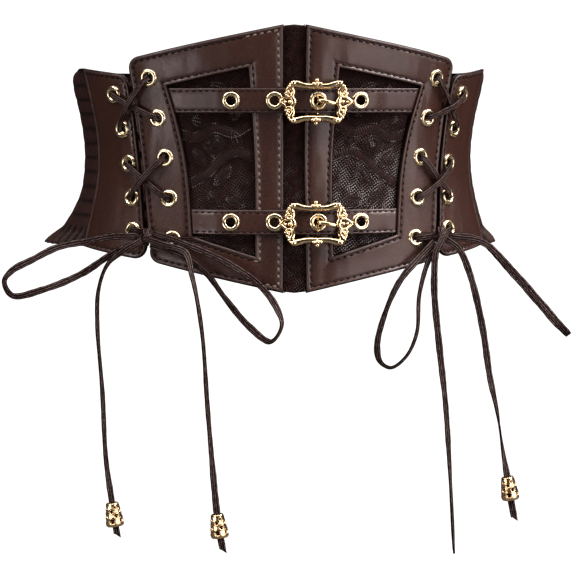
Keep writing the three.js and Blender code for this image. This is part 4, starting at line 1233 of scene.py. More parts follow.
def build_side_panels():
    """Each panel has a wall of rings round its rim, and a grid across its face and across its back."""
    count = 4 * SIDE_POINTS
    front_rings = len(RIM_STEPS) + 1
    bow = np.sin(np.arange(SIDE_POINTS + 1) / SIDE_POINTS * math.pi)
    for name, side in SIDES:
        rings = Rings(side)
        rings.add(side_outline(0.0), 0.4, 1.0)
        for step in RIM_STEPS:
            rings.add(side_outline(step), SIDE_OUT + rim_height(step), rim_shade(step))
        rings.add(side_outline(0.0), 0.4, 1.0)
        rings.add(side_outline(0.5), 0.0, 1.0)
        faces = grid_faces(front_rings, count, wrap_columns=True)
        faces += grid_faces(2, count, wrap_columns=True, start=front_rings * count)
        points = list(rings.points)
        for inset, out, puff in ((RIM_STEPS[-1], SIDE_OUT, 0.3), (0.5, 0.0, 0.0)):
            flat = coons(side_outline(inset))
            faces += grid_faces(SIDE_POINTS + 1, SIDE_POINTS + 1, start=sum(map(len, points)))
            height = out + puff * np.outer(bow, bow)
            points.append(laid(flat, height, side).reshape(-1, 3))
        rim = np.concatenate(rings.shades + [np.zeros(len(grid)) for grid in points[-2:]])
        shell = Shell()
        shell.add(np.vstack(points), faces, rim=rim)
        piece = turn_outward(shell.build("wrapped_side_" + name, leather()), merge=True)
        drill_holes(piece, [(side * a, z, SIDE_OUT) for a, z in SIDE_ROW])
        place_piece(piece, "leather", "side_panel_" + name)
        sewn = Shell()
        row = side_outline(STITCH_INSET)
        row = np.vstack([row[2 * SIDE_POINTS:], row[:SIDE_POINTS]])
        stitch_outline(sewn, row, side, SIDE_OUT - STITCH_SINK, pitch_mm(), closed=False)
        add_piece(sewn, "side_stitching_" + name, thread, "leather")


STRAP_COLUMNS = 150
STRAP_HALF_SECTION = (1.0, 3.0, 4.5, 5.5, 5.9, 6.1, 6.3, 6.6, 7.0, 7.5, 7.85, STRAP_HALF)
STRAP_BACK_SECTION = (7.8, 4.0, 0.0, -4.0, -7.8)
STRAP_SEAM = 6.1
STRAP_SEWING = 400


def build_straps():
    across = np.array([-v for v in STRAP_HALF_SECTION[::-1]] + list(STRAP_HALF_SECTION))
    shares = np.linspace(-1, 1, STRAP_COLUMNS)
    inset = STRAP_HALF - np.abs(across)
    turned = 1 - np.clip(inset / 1.0, 0, 1)
    fall = 0.75 * (1 - np.sqrt(np.maximum(1 - turned ** 2, 0)))
    groove = 0.3 * np.exp(-((inset - 1.9) / 0.7) ** 2)
    # Dark edge paint at the cut edge and painted shade in the sewn groove; below nought, a painted highlight
    # on the rolled lip.
    rim = np.maximum(0.2 * np.exp(-((inset - 1.9) / 0.3) ** 2), 1 - smooth_step(0.1, 0.4, inset))
    rim = rim - 0.7 * np.exp(-((inset - 0.9) / 0.4) ** 2)
    puff = 0.12 * np.cos(across / STRAP_HALF * math.pi / 2)
    section = [(v, STRAP_THICK + drop) for v, drop in zip(across, -fall - groove + puff)]
    section += [(v, 0.0) for v in STRAP_BACK_SECTION]
    shade = np.repeat(np.concatenate([rim, np.zeros(len(STRAP_BACK_SECTION))]), STRAP_COLUMNS)
    total = len(section)
    for name, z in STRAPS.items():
        rows = []
        for v, lift in section:
            along = (window_edge(z + v) - GAP) * shares
            rows.append(on_body(along, z + v, strap_back(along) + lift))
        faces = grid_faces(total, STRAP_COLUMNS, wrap_rows=True)
        faces.append(tuple(i * STRAP_COLUMNS for i in range(total)))
        faces.append(tuple(i * STRAP_COLUMNS + STRAP_COLUMNS - 1 for i in range(total))[::-1])
        shell = Shell()
        shell.add(np.vstack(rows), faces, rim=shade)
        piece = turn_outward(shell.build("sewn_strap_" + name, strap_leather()))
        drill_holes(piece, [(a, z, float(strap_back(a)) + STRAP_THICK) for a in strap_seats()])
        place_piece(piece, "leather", "strap_" + name)
        sewn = Shell()
        for v in (-STRAP_SEAM, STRAP_SEAM):
            along = np.linspace(-1, 1, STRAP_SEWING) * (float(window_edge(z + v)) - 1.0)
            solid = on_body(along, z + v, strap_back(along) + STRAP_THICK - 0.22)
            places, ways = resample(solid, pitch_mm())
            wanted = np.arange(len(places)) / (len(places) - 1)
            spots = np.interp(wanted, np.linspace(0, 1, STRAP_SEWING), along)
            normals = body_normal(spots, np.full(len(spots), z + v))
            stitches(sewn, places, ways, normals, np.zeros(len(spots)), width=1.4)
        add_piece(sewn, "strap_stitching_" + name, thread, "leather")


def lathe(shell, origin, normal, profile, sides):
    """A closed ring turned round a normal from a (radius, height) section."""
    across = unit(np.cross(normal, (0.0, 0.0, 1.0)))
    round_it = circle(across, np.cross(normal, across), sides)
    rings = [origin + normal * height + radius * round_it for radius, height in profile]
    shell.add(np.vstack(rings), grid_faces(len(rings), sides, wrap_rows=True, wrap_columns=True))


def eyelet_profile(sheet, back_flange):
    angles = np.linspace(-0.25 * math.pi, 1.15 * math.pi, 12)
    centre = (BORE + FLANGE) / 2
    half = (FLANGE - BORE) / 2
    crest = [(centre + half * math.cos(a), 0.42 + 1.12 * math.sin(a)) for a in angles]
    profile = [(FLANGE, 0.08)] + crest[1:]
    if back_flange:
        profile += [(BORE, -sheet - 0.6), (3.6, -sheet - 1.05), (4.9, -sheet - 0.75), (4.7, -sheet - 0.5),
                    (3.3, -sheet - 0.5)]
    else:
        profile += [(BORE, GAP - sheet), (3.3, GAP - sheet)]
    profile += [(3.3, 0.1)]
    return profile


def set_eyelet(name, along, z, out, profile):
    shell = Shell()
    lathe(shell, on_body(along, z, out), body_normal(along, z), profile, 40)
    add_piece(shell, "rolled_" + name, eyelet_gilt, "gold", name)


# The panels' rows of eyelets: the places, how far out the sheet's face lies, and its thickness.
EYELET_ROWS = (("front", FRONT_ROW, PANEL_FRONT, 2.4), ("side", SIDE_ROW, SIDE_OUT, 2.5))


def build_eyelets():
    for side_name, side in SIDES:
        for row, places, out, sheet in EYELET_ROWS:
            for i, (along, z) in enumerate(places):
                name = "eyelet_%s_%s_%d" % (row, side_name, i + 1)
                set_eyelet(name, side * along, z, out, eyelet_profile(sheet, True))
    for strap, z in STRAPS.items():
        for i, along in enumerate(strap_seats()):
            name = "eyelet_strap_%s_%d" % (strap, i + 1)
            set_eyelet(name, along, z, strap_back(along) + STRAP_THICK, eyelet_profile(STRAP_THICK, False))


BALL_ROWS = 8
BALL_SIDES = 12
BALL_SQUASH = 0.85


def ball(shell, x, y, out, radius):
    tall = radius * BALL_SQUASH
    points = [(x, y, out + tall)]
    for row in range(1, BALL_ROWS):
        tilt = math.pi * row / BALL_ROWS
        for i in range(BALL_SIDES):
            a = TURN * i / BALL_SIDES
            wide = radius * math.sin(tilt)
            points.append((x + wide * math.cos(a), y + wide * math.sin(a), out + tall * math.cos(tilt)))
    points.append((x, y, out - tall))
    after = [(i + 1) % BALL_SIDES for i in range(BALL_SIDES)]
    faces = [(0, 1 + i, 1 + after[i]) for i in range(BALL_SIDES)]
    faces += [face[::-1] for face in grid_faces(BALL_ROWS - 1, BALL_SIDES, wrap_columns=True, start=1)]
    last = len(points) - 1
    faces += [(last, last - BALL_SIDES + after[i], last - BALL_SIDES + i) for i in range(BALL_SIDES)]
    shell.add(points, faces)


def bar(shell, points, radius, out, taper, spacing=0.45, flat=0.9, sides=10):
    """A cast bar along a smooth flat route at a height."""
    route, shares = spline([(x, y, out) for x, y in points], spacing)
    widths = np.interp(shares, np.linspace(0, 1, len(taper)), taper)
    tube_mesh(shell, route, radius, sides=sides, flat=flat, taper=widths)


def spiral(x, y, size, turns, start, way=1.0, count=14):
    angles = np.linspace(0, turns * 2 * math.pi, count)
    reach = size * (1 - 0.72 * angles / angles[-1])
    angles = start + way * angles
    return [(x + r * math.cos(a), y + r * math.sin(a)) for a, r in zip(angles, reach)]


# A quarter of the buckle's ring and its widths, the balls of a quarter as (x, y, lift, radius), and the
# balls on its long and on its short axis as (distance, lift, radius).
BUCKLE_RING = ((0, 10.3), (3.5, 10.1), (7.0, 10.3), (10.0, 11.1), (12.6, 11.7), (14.3, 10.9), (14.5, 8.8),
               (13.5, 6.9), (13.7, 4.7), (14.2, 3.0), (13.4, 1.3), (13.1, 0))
BUCKLE_TAPER = (1.0, 0.9, 1.0, 1.15, 1.2, 1.05, 0.8, 0.65, 0.6, 0.65, 0.75, 0.9)
CORNER_BALLS = ((13.4, 11.9, 0.6, 1.9), (15.9, 10.0, 0.3, 1.05), (17.0, 7.6, 0.2, 1.0), (17.9, 5.2, 0.1, 0.9),
                (1.9, 11.5, 0.7, 1.2))
END_BALLS = ((15.6, 0.6, 1.3), (18.2, 0.4, 0.9), (20.6, 0.1, 1.0))
TOP_BALLS = ((13.6, 0.35, 1.25), (11.3, 0.85, 1.45))
HOOK = ((14.0, 9.0), (16.2, 8.9), (17.2, 6.2), (15.8, 4.6))
POINT = ((14.4, 3.2), (17.0, 3.1), (19.2, 1.7), (21.0, 0))
QUARTERS = [(sx, sy) for sx in (-1, 1) for sy in (-1, 1)]
RING_DROP = -1.0


def buckle_shell():
    """A cast ring of scrolls and balls, and the hidden bar that the strap runs under."""
    shell = Shell()
    mid = BUCKLE_FRONT - 1.25
    for sx, sy in QUARTERS:
        bar(shell, [(sx * x, sy * y) for x, y in BUCKLE_RING], 1.85, mid, BUCKLE_TAPER, flat=0.72, sides=12)
    for sx, sy in QUARTERS:
        for x, y, lift, radius in CORNER_BALLS:
            ball(shell, sx * x, sy * y, mid + lift, radius)
        curl = spiral(sx * 15.8, sy * 4.6, 2.1, 1.15, math.pi / 2 * sy, -sx * sy)
        bar(shell, curl, 0.78, mid + 0.45, (1.0, 1.0, 0.9, 0.7), spacing=0.3)
        bar(shell, [(sx * x, sy * y) for x, y in HOOK], 0.75, mid + 0.3, (0.8, 1.1, 1.0, 0.7))
        bar(shell, [(sx * x, sy * y) for x, y in POINT], 0.85, mid + 0.1, (0.8, 1.0, 1.1, 1.1))
    for way in (-1, 1):
        for x, lift, radius in END_BALLS:
            ball(shell, way * x, 0, mid + lift, radius)
    for way in (-1, 1):
        for y, lift, radius in TOP_BALLS:
            ball(shell, 0, way * y, mid + lift, radius)
    for points in shell.points:
        points[:, 1] += RING_DROP
    half = ((0, 4.95), (7.6, 4.95), (9.2, 5.2), (9.7, mid - 2.2), (10.2, mid))
    hidden = [(-BUCKLE_SHIFT, -y, out) for y, out in half[:0:-1]]
    hidden += [(-BUCKLE_SHIFT, y, out) for y, out in half]
    route, _ = spline(hidden, 0.8)
    tube_mesh(shell, route, 0.68, sides=10, up=(1, 0, 0), flat=1.6)
    return shell


def bend_shell(shell, along, z):
    for i, points in enumerate(shell.points):
        shell.points[i] = on_body(along + points[:, 0], z + points[:, 1], points[:, 2])
    return shell


def build_buckles():
    seat = 5.9
    rest = seat + STRAP_THICK + GAP + 1.3 + GAP + 1.1
    tongue = ((0, 0, seat), (0.1, 0, 7.9), (1.2, -0.2, rest - 0.4), (3.4, -0.5, rest), (9.3, -2.2, rest))
    for name, z in STRAPS.items():
        ring = bend_shell(buckle_shell(), BUCKLE_ALONG + BUCKLE_SHIFT, z)
        add_piece(ring, "cast_buckle_" + name, gilt, "gold", "buckle_" + name)
        pin = Shell()
        route, shares = spline(tongue, 0.4)
        taper = np.interp(shares, (0, 0.5, 0.85, 1), (1, 1, 0.95, 0.8))
        tube_mesh(pin, route, 1.5, sides=14, up=(0, 1, 0), taper=taper)
        bend_shell(pin, BUCKLE_ALONG, z)
        add_piece(pin, "buckle_tongue_" + name, gilt, "gold", "pin_" + name)


def in_polygon(points, polygon):
    points = np.asarray(points, float)
    corners = np.asarray(polygon, float)
    inside = np.ones(len(points), bool)
    for a, b in zip(corners, np.roll(corners, -1, axis=0)):
        edge = b - a
        inside &= edge[0] * (points[:, 1] - a[1]) - edge[1] * (points[:, 0] - a[0]) >= 0
    return inside


def ribbon(shell, flat, side, width, low, high, **values):
    """A raised thread drawn flat at (along, z) and laid on the body."""
    flat = np.asarray(flat, float)
    if len(flat) < 2:
        return
    way = unit(np.gradient(flat, axis=0))
    left = np.stack([-way[:, 1], way[:, 0]], -1) * width / 2
    rows = []
    for share, out in ((1.0, low), (0.55, high), (-0.55, high), (-1.0, low)):
        rows.append(laid(flat + left * share, out, side))
    faces = grid_faces(4, len(flat))
    if side < 0:
        faces = [f[::-1] for f in faces]
    # The edge value marks the cords that the flower thread dots with painted glints.
    values.setdefault("edge", 1.0)
    shell.add(np.vstack(rows), faces, ply=np.tile(lengths_along(flat) / 1.5, 4), **values)


def petal_patch(shell, rim, side, low, high):
    """A filled raised patch: a low edge, a rounded shoulder and a middle."""
    middle = rim.mean(0)
    points = []
    for share, out in ((1.0, low), (0.9, high), (0.5, high * 0.85 + low * 0.15)):
        points.append(laid(middle + (rim - middle) * share, out, side))
    points.append(laid(middle[None], high * 0.8 + low * 0.2, side))
    count = len(rim)
    faces = grid_faces(3, count, wrap_columns=True)
    faces += [(2 * count + i, 2 * count + (i + 1) % count, 3 * count) for i in range(count)]
    if side < 0:
        faces = [f[::-1] for f in faces]
    spin = np.arctan2(rim[:, 1] - middle[1], rim[:, 0] - middle[0]) * 4.0
    shell.add(np.vstack(points), faces, ply=np.concatenate([np.tile(spin, 3), [0.0]]))


def turned(u, v, x, z, angle):
    """Flat points turned by an angle and moved to a place."""
    c, s = math.cos(angle), math.sin(angle)
    return np.stack([x + u * c - v * s, z + u * s + v * c], -1)


LEAF_TEETH = 7


def leaf_outline(x, z, length, width, turn):
    t = np.linspace(0, 1, 22)
    half = width / 2 * np.sin(math.pi * t ** 0.8) * (1 + 0.12 * np.sin(t * LEAF_TEETH * 2 * math.pi))
    u = np.concatenate([t * length, t[-2:0:-1] * length])
    return turned(u, np.concatenate([half, -half[-2:0:-1]]), x, z, turn)


# The rose's two rings: how many petals, their reach, width and lift, and the ring's own turn.
ROSE_RINGS = ((6, 1.0, 0.62, 0.35, 0.0), (5, 0.62, 0.5, 0.6, 0.5))


def lace_flower(shell, x, z, size, side, polygon, low, turn):
    """An open rose of two rings of petals round a coiled heart."""
    t = np.linspace(0, TURN, 18, endpoint=False)
    for count, reach, wide, lift, shift in ROSE_RINGS:
        u = reach * size * (0.55 + 0.45 * np.cos(t)) * (1 - 0.1 * np.cos(3 * t))
        v = wide * size * np.sin(t) * (0.6 + 0.4 * np.cos(t / 2) ** 2)
        for i in range(count):
            rim = turned(u, v, x, z, turn + TURN * i / count + shift)
            if in_polygon(rim, polygon).all():
                petal_patch(shell, rim, side, low, low + lift)
                ribbon(shell, np.vstack([rim, rim[:1]]), side, 0.7, low, low + lift + 0.22)
    heart = np.array(spiral(x, z, size * 0.3, 2.0, turn, 1.0, 40))
    ribbon(shell, heart, side, 0.8, low, low + 1.0)


def lace_leaf(shell, x, z, length, width, turn, side, polygon, low):
    rim = leaf_outline(x, z, length, width, turn)
    if not in_polygon(rim, polygon).all():
        return
    petal_patch(shell, rim, side, low, low + 0.3)
    ribbon(shell, np.vstack([rim, rim[:1]]), side, 0.6, low, low + 0.5)
    tip = np.array([x + length * 0.95 * math.cos(turn), z + length * 0.95 * math.sin(turn)])
    ribbon(shell, np.linspace((x, z), tip, 12), side, 0.6, low, low + 0.55)


NET_REACH = np.arange(-160.0, 160.0, 1.6)
NET_LINES = 60


def clip_line(start, way, polygon):
    """The part of a straight line that is inside the polygon, as points."""
    points = start + NET_REACH[:, None] * way
    return points[in_polygon(points, polygon)]


def net_shine(side, flat):
    """How much of the light the net catches: most in the lower part of the lit window."""
    lit = smooth_step(24.0, -8.0, flat[:, 1]) if side > 0 else 0.22 * smooth_step(6.0, -20.0, flat[:, 1])
    return np.maximum(lit, 0.05)


def net(shell, polygon, side, pitch, low, slopes=(0.5, -0.95), width=0.6, lit=1.0):
    """Two sets of slanting threads that cross over each other."""
    middle = np.mean(polygon, axis=0)
    for layer, slope in enumerate(slopes):
        way = unit(np.array([math.cos(slope), math.sin(slope)]))
        across = np.array([-way[1], way[0]])
        for i in range(-NET_LINES, NET_LINES + 1):
            line = clip_line(middle + across * i * pitch, way, polygon)
            if len(line) < 3:
                continue
            wave = 0.12 * np.sin(np.arange(len(line)) * 1.7 + i)
            line = line + across * wave[:, None]
            ribbon(shell, line, side, width, low + 0.06 * layer, low + 0.3 + 0.12 * layer,
                   shine=np.tile(net_shine(side, line) * lit, 4))


def grow(polygon, margin):
    """The polygon with every side moved outwards by a margin."""
    triples = zip(polygon[-1:] + polygon[:-1], polygon, polygon[1:] + polygon[:1])
    return [tuple(offset_corner(*corners, -margin)) for corners in triples]


def walled_grid(shell, front, back, **values):
    """A cloth of two grids of points, joined all round their edges."""
    rows, columns = front.shape[:2]
    total = rows * columns
    faces = grid_faces(rows, columns)
    faces += [tuple(i + total for i in f[::-1]) for f in faces]
    rim = list(range(columns)) + [r * columns + columns - 1 for r in range(1, rows)]
    rim += [(rows - 1) * columns + c for c in range(columns - 2, -1, -1)]
    rim += [r * columns for r in range(rows - 2, 0, -1)]
    for here, after in zip(rim, rim[1:] + rim[:1]):
        faces.append((here, after, after + total, here + total))
    shell.add(np.vstack([front.reshape(-1, 3), back.reshape(-1, 3)]), faces, **values)


def backing_sheet(name, polygon, side, low, high, columns=26, rows=44, drop=0.0):
    """A thin cloth inside a four-cornered outline; its sides may end short of its middle by a drop."""
    shell = Shell()
    u = np.linspace(0, 1, columns)[:, None, None]
    v = np.linspace(0, 1, rows)[None, :, None]
    a, b, c, d = [np.array(p) for p in polygon]
    flat = (a * (1 - u) + b * u) * (1 - v) + (d * (1 - u) + c * u) * v
    flat[..., 1] += (drop * np.abs(2 * u - 1) * (1 - 2 * v))[..., 0]
    ripple = 0.06 * np.sin(flat[..., 0] * 0.9) * np.sin(flat[..., 1] * 0.7)
    walled_grid(shell, laid(flat, high + ripple, side), laid(flat, low, side))
    return turn_outward(shell.build(name, lining()))


BACKING_HIGH = 0.7
BACKING_MARGIN = 2.6
NET_MARGIN = 1.6
LACE_LOW = 0.72
# The pattern as (along, z): bands by their routes, leaves by place, length, width and turn, and roses by
# place, size and turn.
LACE_BANDS = (((26, 2), (36, 5), (46, 0), (56, -10), (66, -16)),
              ((30, 40), (40, 34), (52, 36), (64, 30), (74, 32)),
              ((28, 22), (38, 17), (50, 20), (62, 14), (72, 16)),
              ((60, 46), (54, 38), (58, 28)))
LACE_LEAVES = ((44, 2, 16, 8, 0.5), (40, -4, 17, 7, -0.9), (56, -4, 14, 7, 0.9), (34, 8, 12, 6, 1.2),
               (30, -30, 14, 6, 0.4), (46, -30, 13, 6, 0.9), (34, 26, 12, 5, 0.5), (54, 22, 13, 5, 0.3),
               (36, -48, 14, 6, 0.5), (40, 44, 12, 5, 0.4))
LACE_ROSES = ((50, 9, 6.5, 0.3), (38, 30, 5.0, 0.8))


def build_lace_windows():
    """Behind each window a woven cloth, a net over it, and bands, leaves and roses on the net."""
    for name, side in SIDES:
        hidden = grow(WINDOW_CORNERS, BACKING_MARGIN)
        sheet = backing_sheet("window_backing_" + name, hidden, side, 0.0, BACKING_HIGH)
        place_piece(sheet, "lace", "lace_window_" + name)
        mesh_shell = Shell()
        shown = grow(WINDOW_CORNERS, NET_MARGIN)
        net(mesh_shell, shown, side, sizes().net_pitch / MM, LACE_LOW)
        net_piece = place_piece(mesh_shell.build("window_net_" + name, lace_thread()), "lace")
        flowers = Shell()
        low = LACE_LOW + 0.15
        for points in LACE_BANDS:
            band, _ = spline(points, 1.0)
            band = band[in_polygon(band, shown)]
            if len(band) < 4:
                continue
            ribbon(flowers, band, side, 5.2, low, low + 0.35, edge=0.0)
            way = unit(np.gradient(band, axis=0))
            for edge in (-2.9, 2.9):
                line = band + np.stack([-way[:, 1], way[:, 0]], -1) * edge
                ribbon(flowers, line[in_polygon(line, shown)], side, 0.7, low, low + 0.6)
        for x, z, length, width, turn in LACE_LEAVES:
            lace_leaf(flowers, x, z, length, width, turn, side, shown, low)
        for x, z, size, turn in LACE_ROSES:
            lace_flower(flowers, x, z, size, side, shown, low, turn)
        piece = place_piece(flowers.build("window_flowers_" + name, flower_thread()), "lace")
        a, b, c, d = [np.array(p) for p in hidden]
        width = (np.linalg.norm(b - a) + np.linalg.norm(c - d)) / 2


PLACKET = [(-11.5, -84.8), (11.5, -84.8), (11.5, 85.5), (-11.5, 85.5)]
PLACKET_SHOWN = [(-7.6, -84.6), (7.6, -84.6), (7.6, 85.3), (-7.6, 85.3)]


def build_placket():
    """The lace strip: a cloth, its net, and a row of leaves up each side."""
    sheet = backing_sheet("placket_backing", PLACKET, 1, 0.0, BACKING_HIGH, 17, 90, drop=1.4)
    place_piece(sheet, "lace", "centre_placket")
    shell = Shell()
    pitch = sizes().net_pitch / MM * 0.9
    net(shell, PLACKET_SHOWN, 1, pitch, LACE_LOW, slopes=(0.7, -1.1), width=0.55, lit=0.25)
    for z in np.arange(-78, 80, 11.0):
        for x, rise, turn in ((-5, 0, 0.5), (5, 5, math.pi - 0.5)):
            lace_leaf(shell, x, z + rise, 9, 3.6, turn, 1, PLACKET_SHOWN, LACE_LOW + 0.1)
    piece = place_piece(shell.build("placket_lace", lace_thread()), "lace")


def back_stand(along, z):
    """How far the elastic stands out from the body before its gathers; along runs on past the back."""
    from_seam = np.minimum(along, 2 * HALF_WAIST - along) - SEAM_ALONG
    fade = smooth_step(0.3, 66.0, from_seam)
    below = np.clip((-20.0 - z) / 38.0, 0, None)
    above = np.clip((z - 46.0) / 12.5, 0, None)
    rolled = np.clip((z - 50.5) / (SIDE_TOP_SEAM - 50.4), 0, 1)
    roll = 6.0 * (1 - np.sqrt(1 - rolled ** 2)) * smooth_step(2.0, 26.0, from_seam)
    leftward = smooth_step(0.0, 2 * HALF_WAIST, 2 * (along - HALF_WAIST) + HALF_WAIST)
    flare = 4.0 + 12.0 * leftward
    return (flare * below ** 1.5 - 3.0 * above) * fade - roll + GAP


BACK_REACH = HALF_WAIST - SEAM_ALONG
BACK_COLUMNS = 560
ELASTIC_THICK = 0.7
GATHER_PITCH = 3.4
SHIRR_PITCH = 9.5
RUFFLE_PITCH = 7.6
RUFFLE_DEEP = 3.3
TUCKED_OUT = -0.25


def build_back():
    """The gathered elastic, with its two edges tucked in behind the side panels and a ruffle for a hem."""
    shown = np.linspace(SEAM_ALONG + GAP, 2 * HALF_WAIST - SEAM_ALONG - GAP, BACK_COLUMNS)
    under = np.array([SEAM_ALONG - 3.0, SEAM_ALONG - 0.1])
    along = np.concatenate([under, shown, (2 * HALF_WAIST - under)[::-1]])
    z = np.concatenate([np.linspace(-58, -45, 9), np.linspace(-43.8, 50, 63),
                        np.linspace(51, 57.6, 9), [58.0, 58.3, SIDE_TOP_SEAM]])
    a, h = np.meshgrid(along, z)
    from_seam = np.minimum(a, 2 * HALF_WAIST - a) - SEAM_ALONG - GAP
    edge = smooth_step(0.0, 5.0, from_seam)
    hem = 1 - smooth_step(-57.0, -45.0, h)
    wobble = 0.6 * np.sin(a * 0.09) + 0.4 * np.sin(a * 0.031 + 1.0)
    depth = 0.16 + 0.06 * np.sin(a * 0.7 + h * 0.21)
    gather = np.sin(a * 2 * math.pi / GATHER_PITCH + wobble + 0.02 * h) * depth
    shirr = np.clip(np.cos(h * 2 * math.pi / SHIRR_PITCH), 0, 1)
    ruffle = np.sin(a * 2 * math.pi / RUFFLE_PITCH + 0.8 * np.sin(a * 0.11)) * RUFFLE_DEEP
    cloth = (1 - hem) * (gather * (1 - 0.75 * shirr) - 0.12 * shirr ** 4) + hem * (ruffle + 2.3)
    out = back_stand(a, h) + edge * cloth + ELASTIC_THICK
    pleated = 1 - smooth_step(-52.0, -42.0, h)
    # Painted shade for the elastic: low in the gathers' hollows and along the shirring rows, and in the
    # ruffle's slots below.
    fold = np.clip(0.75 + gather * 1.8 - 0.75 * shirr ** 4, 0, 1) * (1 - pleated)
    fold = fold + pleated * np.clip(0.15 + ruffle / 2.4, 0, 1)
    from_edge = smooth_step(4.0, 60.0, BACK_REACH - np.abs(a - HALF_WAIST))
    lowered = h - 2.2 * edge * np.clip((h - 36.0) / 22.5, 0, 1) * from_edge
    tucked = from_seam < -GAP
    out = np.where(tucked, TUCKED_OUT, out)
    lowered = np.where(tucked, h * 0.985, lowered)
    shell = Shell()
    walled_grid(shell, on_body(a, lowered, out), on_body(a, lowered, out - ELASTIC_THICK),
                fold=np.tile(fold.ravel(), 2))
    piece = add_piece(shell, "shirred_back", elastic, "elastic", "back_elastic")


# Each softbox: its name, its turn round the belt and lift in degrees, distance, size in metres and power.
SOFTBOXES = (
    ("right_softbox", 68.0, 36.0, 1.5, (0.8, 0.8), 26.0),
    ("left_softbox", -64.0, 38.0, 1.5, (0.6, 0.8), 10.0),
    ("top_softbox", 8.0, 62.0, 1.4, (1.3, 0.55), 11.5),
    ("right_low_softbox", 41.0, -4.0, 1.4, (1.0, 0.5), 5.0),
    ("left_low_softbox", -46.0, -8.0, 1.3, (0.6, 0.34), 2.7),
    ("back_softbox", 176.0, 34.0, 1.7, (1.4, 0.5), 7.0),
)
LIGHT_TINT = (1.0, 0.94, 0.935)
CAMERA_TARGET = (5.4, 0.0, -88.5)
CAMERA_LENS = 147.3
# The stage's own lengths are in metres.
CAMERA_DISTANCE = 1.594
PAPER_DEPTH = 2.4
PAPER_RISE = 3.4
PAPER_ROUND = 0.9
WORLD_LOW = (0.03, 0.03, 0.03, 1.0)
WORLD_HIGH = (0.08, 0.08, 0.08, 1.0)


def direction(turn, lift):
    """The way from the belt at an angle round it and an angle above the level."""
    return np.array([math.sin(turn) * math.cos(lift), -math.cos(turn) * math.cos(lift), math.sin(lift)])


def aim(made, way):
    """Turns a camera or a light back along a way, and puts it in the scene."""
    made.rotation_euler = (-Vector(way)).to_track_quat("-Z", "Y").to_euler()
    bpy.context.scene.collection.objects.link(made)


def add_camera():
    data = bpy.data.cameras.new("photo_camera")
    data.lens = CAMERA_LENS
    data.sensor_width = 36.0
    camera = bpy.data.objects.new("photo_camera", data)
    way = direction(sizes().camera_turn, sizes().camera_lift)
    camera.location = Vector(np.array(CAMERA_TARGET) * MM + way * CAMERA_DISTANCE)
    aim(camera, way)
    bpy.context.scene.camera = camera


def add_light(name, turn, lift, distance, size, power):
    data = bpy.data.lights.new(name, "AREA")
    data.shape = "RECTANGLE"
    data.size, data.size_y = size
    data.energy = power
    data.color = LIGHT_TINT
    light = bpy.data.objects.new(name, data)
    way = direction(math.radians(turn), math.radians(lift))
    light.location = Vector(way) * distance
    aim(light, way)


def add_paper():
    """A floor that bends up into a wall behind the belt."""
    bend = [(PAPER_DEPTH - PAPER_ROUND + PAPER_ROUND * math.sin(t), PAPER_ROUND - PAPER_ROUND * math.cos(t))
            for t in np.linspace(0, math.pi / 2, 14)]
    bend = [(-2.6, 0.0)] + bend + [(PAPER_DEPTH, PAPER_RISE)]
    points = [(x, y, z - 0.34) for y, z in bend for x in (-3.0, 3.0)]
    faces = [(2 * i, 2 * i + 1, 2 * i + 3, 2 * i + 2) for i in range(len(bend) - 1)]
    shell = Shell()
    shell.add(np.array(points) / MM, faces)
    floor = shell.build("studio_floor", paper())


def add_world():
    """White where the camera sees it, and a faint glow from above where it lights the belt."""
    world = bpy.data.worlds.new("studio")
    world.use_nodes = True
    world.node_tree.nodes.clear()
    n = Nodes(world.node_tree)
    way = n.add("ShaderNodeTexCoord").outputs["Generated"]
    height = n.add("ShaderNodeSeparateXYZ", Vector=way).outputs[2]
    glow = n.blend(n.span(height, -0.3, 0.9, 0.0, 1.0), WORLD_LOW, WORLD_HIGH)
    mix = n.add("ShaderNodeMixShader")
    n.put(mix.inputs[0], n.add("ShaderNodeLightPath").outputs["Is Camera Ray"])
    n.put(mix.inputs[1], n.add("ShaderNodeBackground", Color=glow, Strength=1.0).outputs[0])
    n.put(mix.inputs[2], n.add("ShaderNodeBackground", Color=WHITE, Strength=1.0).outputs[0])
    n.put(n.add("ShaderNodeOutputWorld").inputs[0], mix.outputs[0])
    bpy.context.scene.world = world


def build_stage():
    add_camera()
    add_paper()
    add_world()
    view = bpy.context.scene.view_settings
    view.view_transform = "Standard"
    view.look = "Medium High Contrast"
    for softbox in SOFTBOXES:
        add_light(*softbox)


# The add-on: one operator for the stage and for each piece or group of like pieces.
OPTIONS = {"REGISTER", "UNDO"}


def finished(build):
    build()
    return {"FINISHED"}


class BELT_OT_stage(bpy.types.Operator):
    """Adds the camera, the softboxes and the pale floor."""
    bl_idname = "belt.stage"
    bl_label = "Stage"
    bl_options = OPTIONS

    def execute(self, context):
        return finished(build_stage)


class BELT_OT_beads(bpy.types.Operator):
    """Adds the pierced gilt beads on the lace ends."""
    bl_idname = "belt.beads"
    bl_label = "Beads"
    bl_options = OPTIONS

    def execute(self, context):
        return finished(build_beads)


class BELT_OT_laces(bpy.types.Operator):
    """Adds the bow loops and the hanging lace tails."""
    bl_idname = "belt.laces"
    bl_label = "Loose laces"
    bl_options = OPTIONS

    def execute(self, context):
        return finished(build_laces)


class BELT_OT_knots(bpy.types.Operator):
    """Adds the two bow knots."""
    bl_idname = "belt.knots"
    bl_label = "Knots"
    bl_options = OPTIONS

    def execute(self, context):
        return finished(build_knots)


class BELT_OT_lacing(bpy.types.Operator):
    """Adds the crossed laces at both sides."""
    bl_idname = "belt.lacing"
    bl_label = "Lacing"
    bl_options = OPTIONS

    def execute(self, context):
        return finished(build_lacing)


class BELT_OT_front_panels(bpy.types.Operator):
    """Adds the wrapped front panels with their windows."""
    bl_idname = "belt.front_panels"
    bl_label = "Front panels"
    bl_options = OPTIONS

    def execute(self, context):
        return finished(build_front_panels)


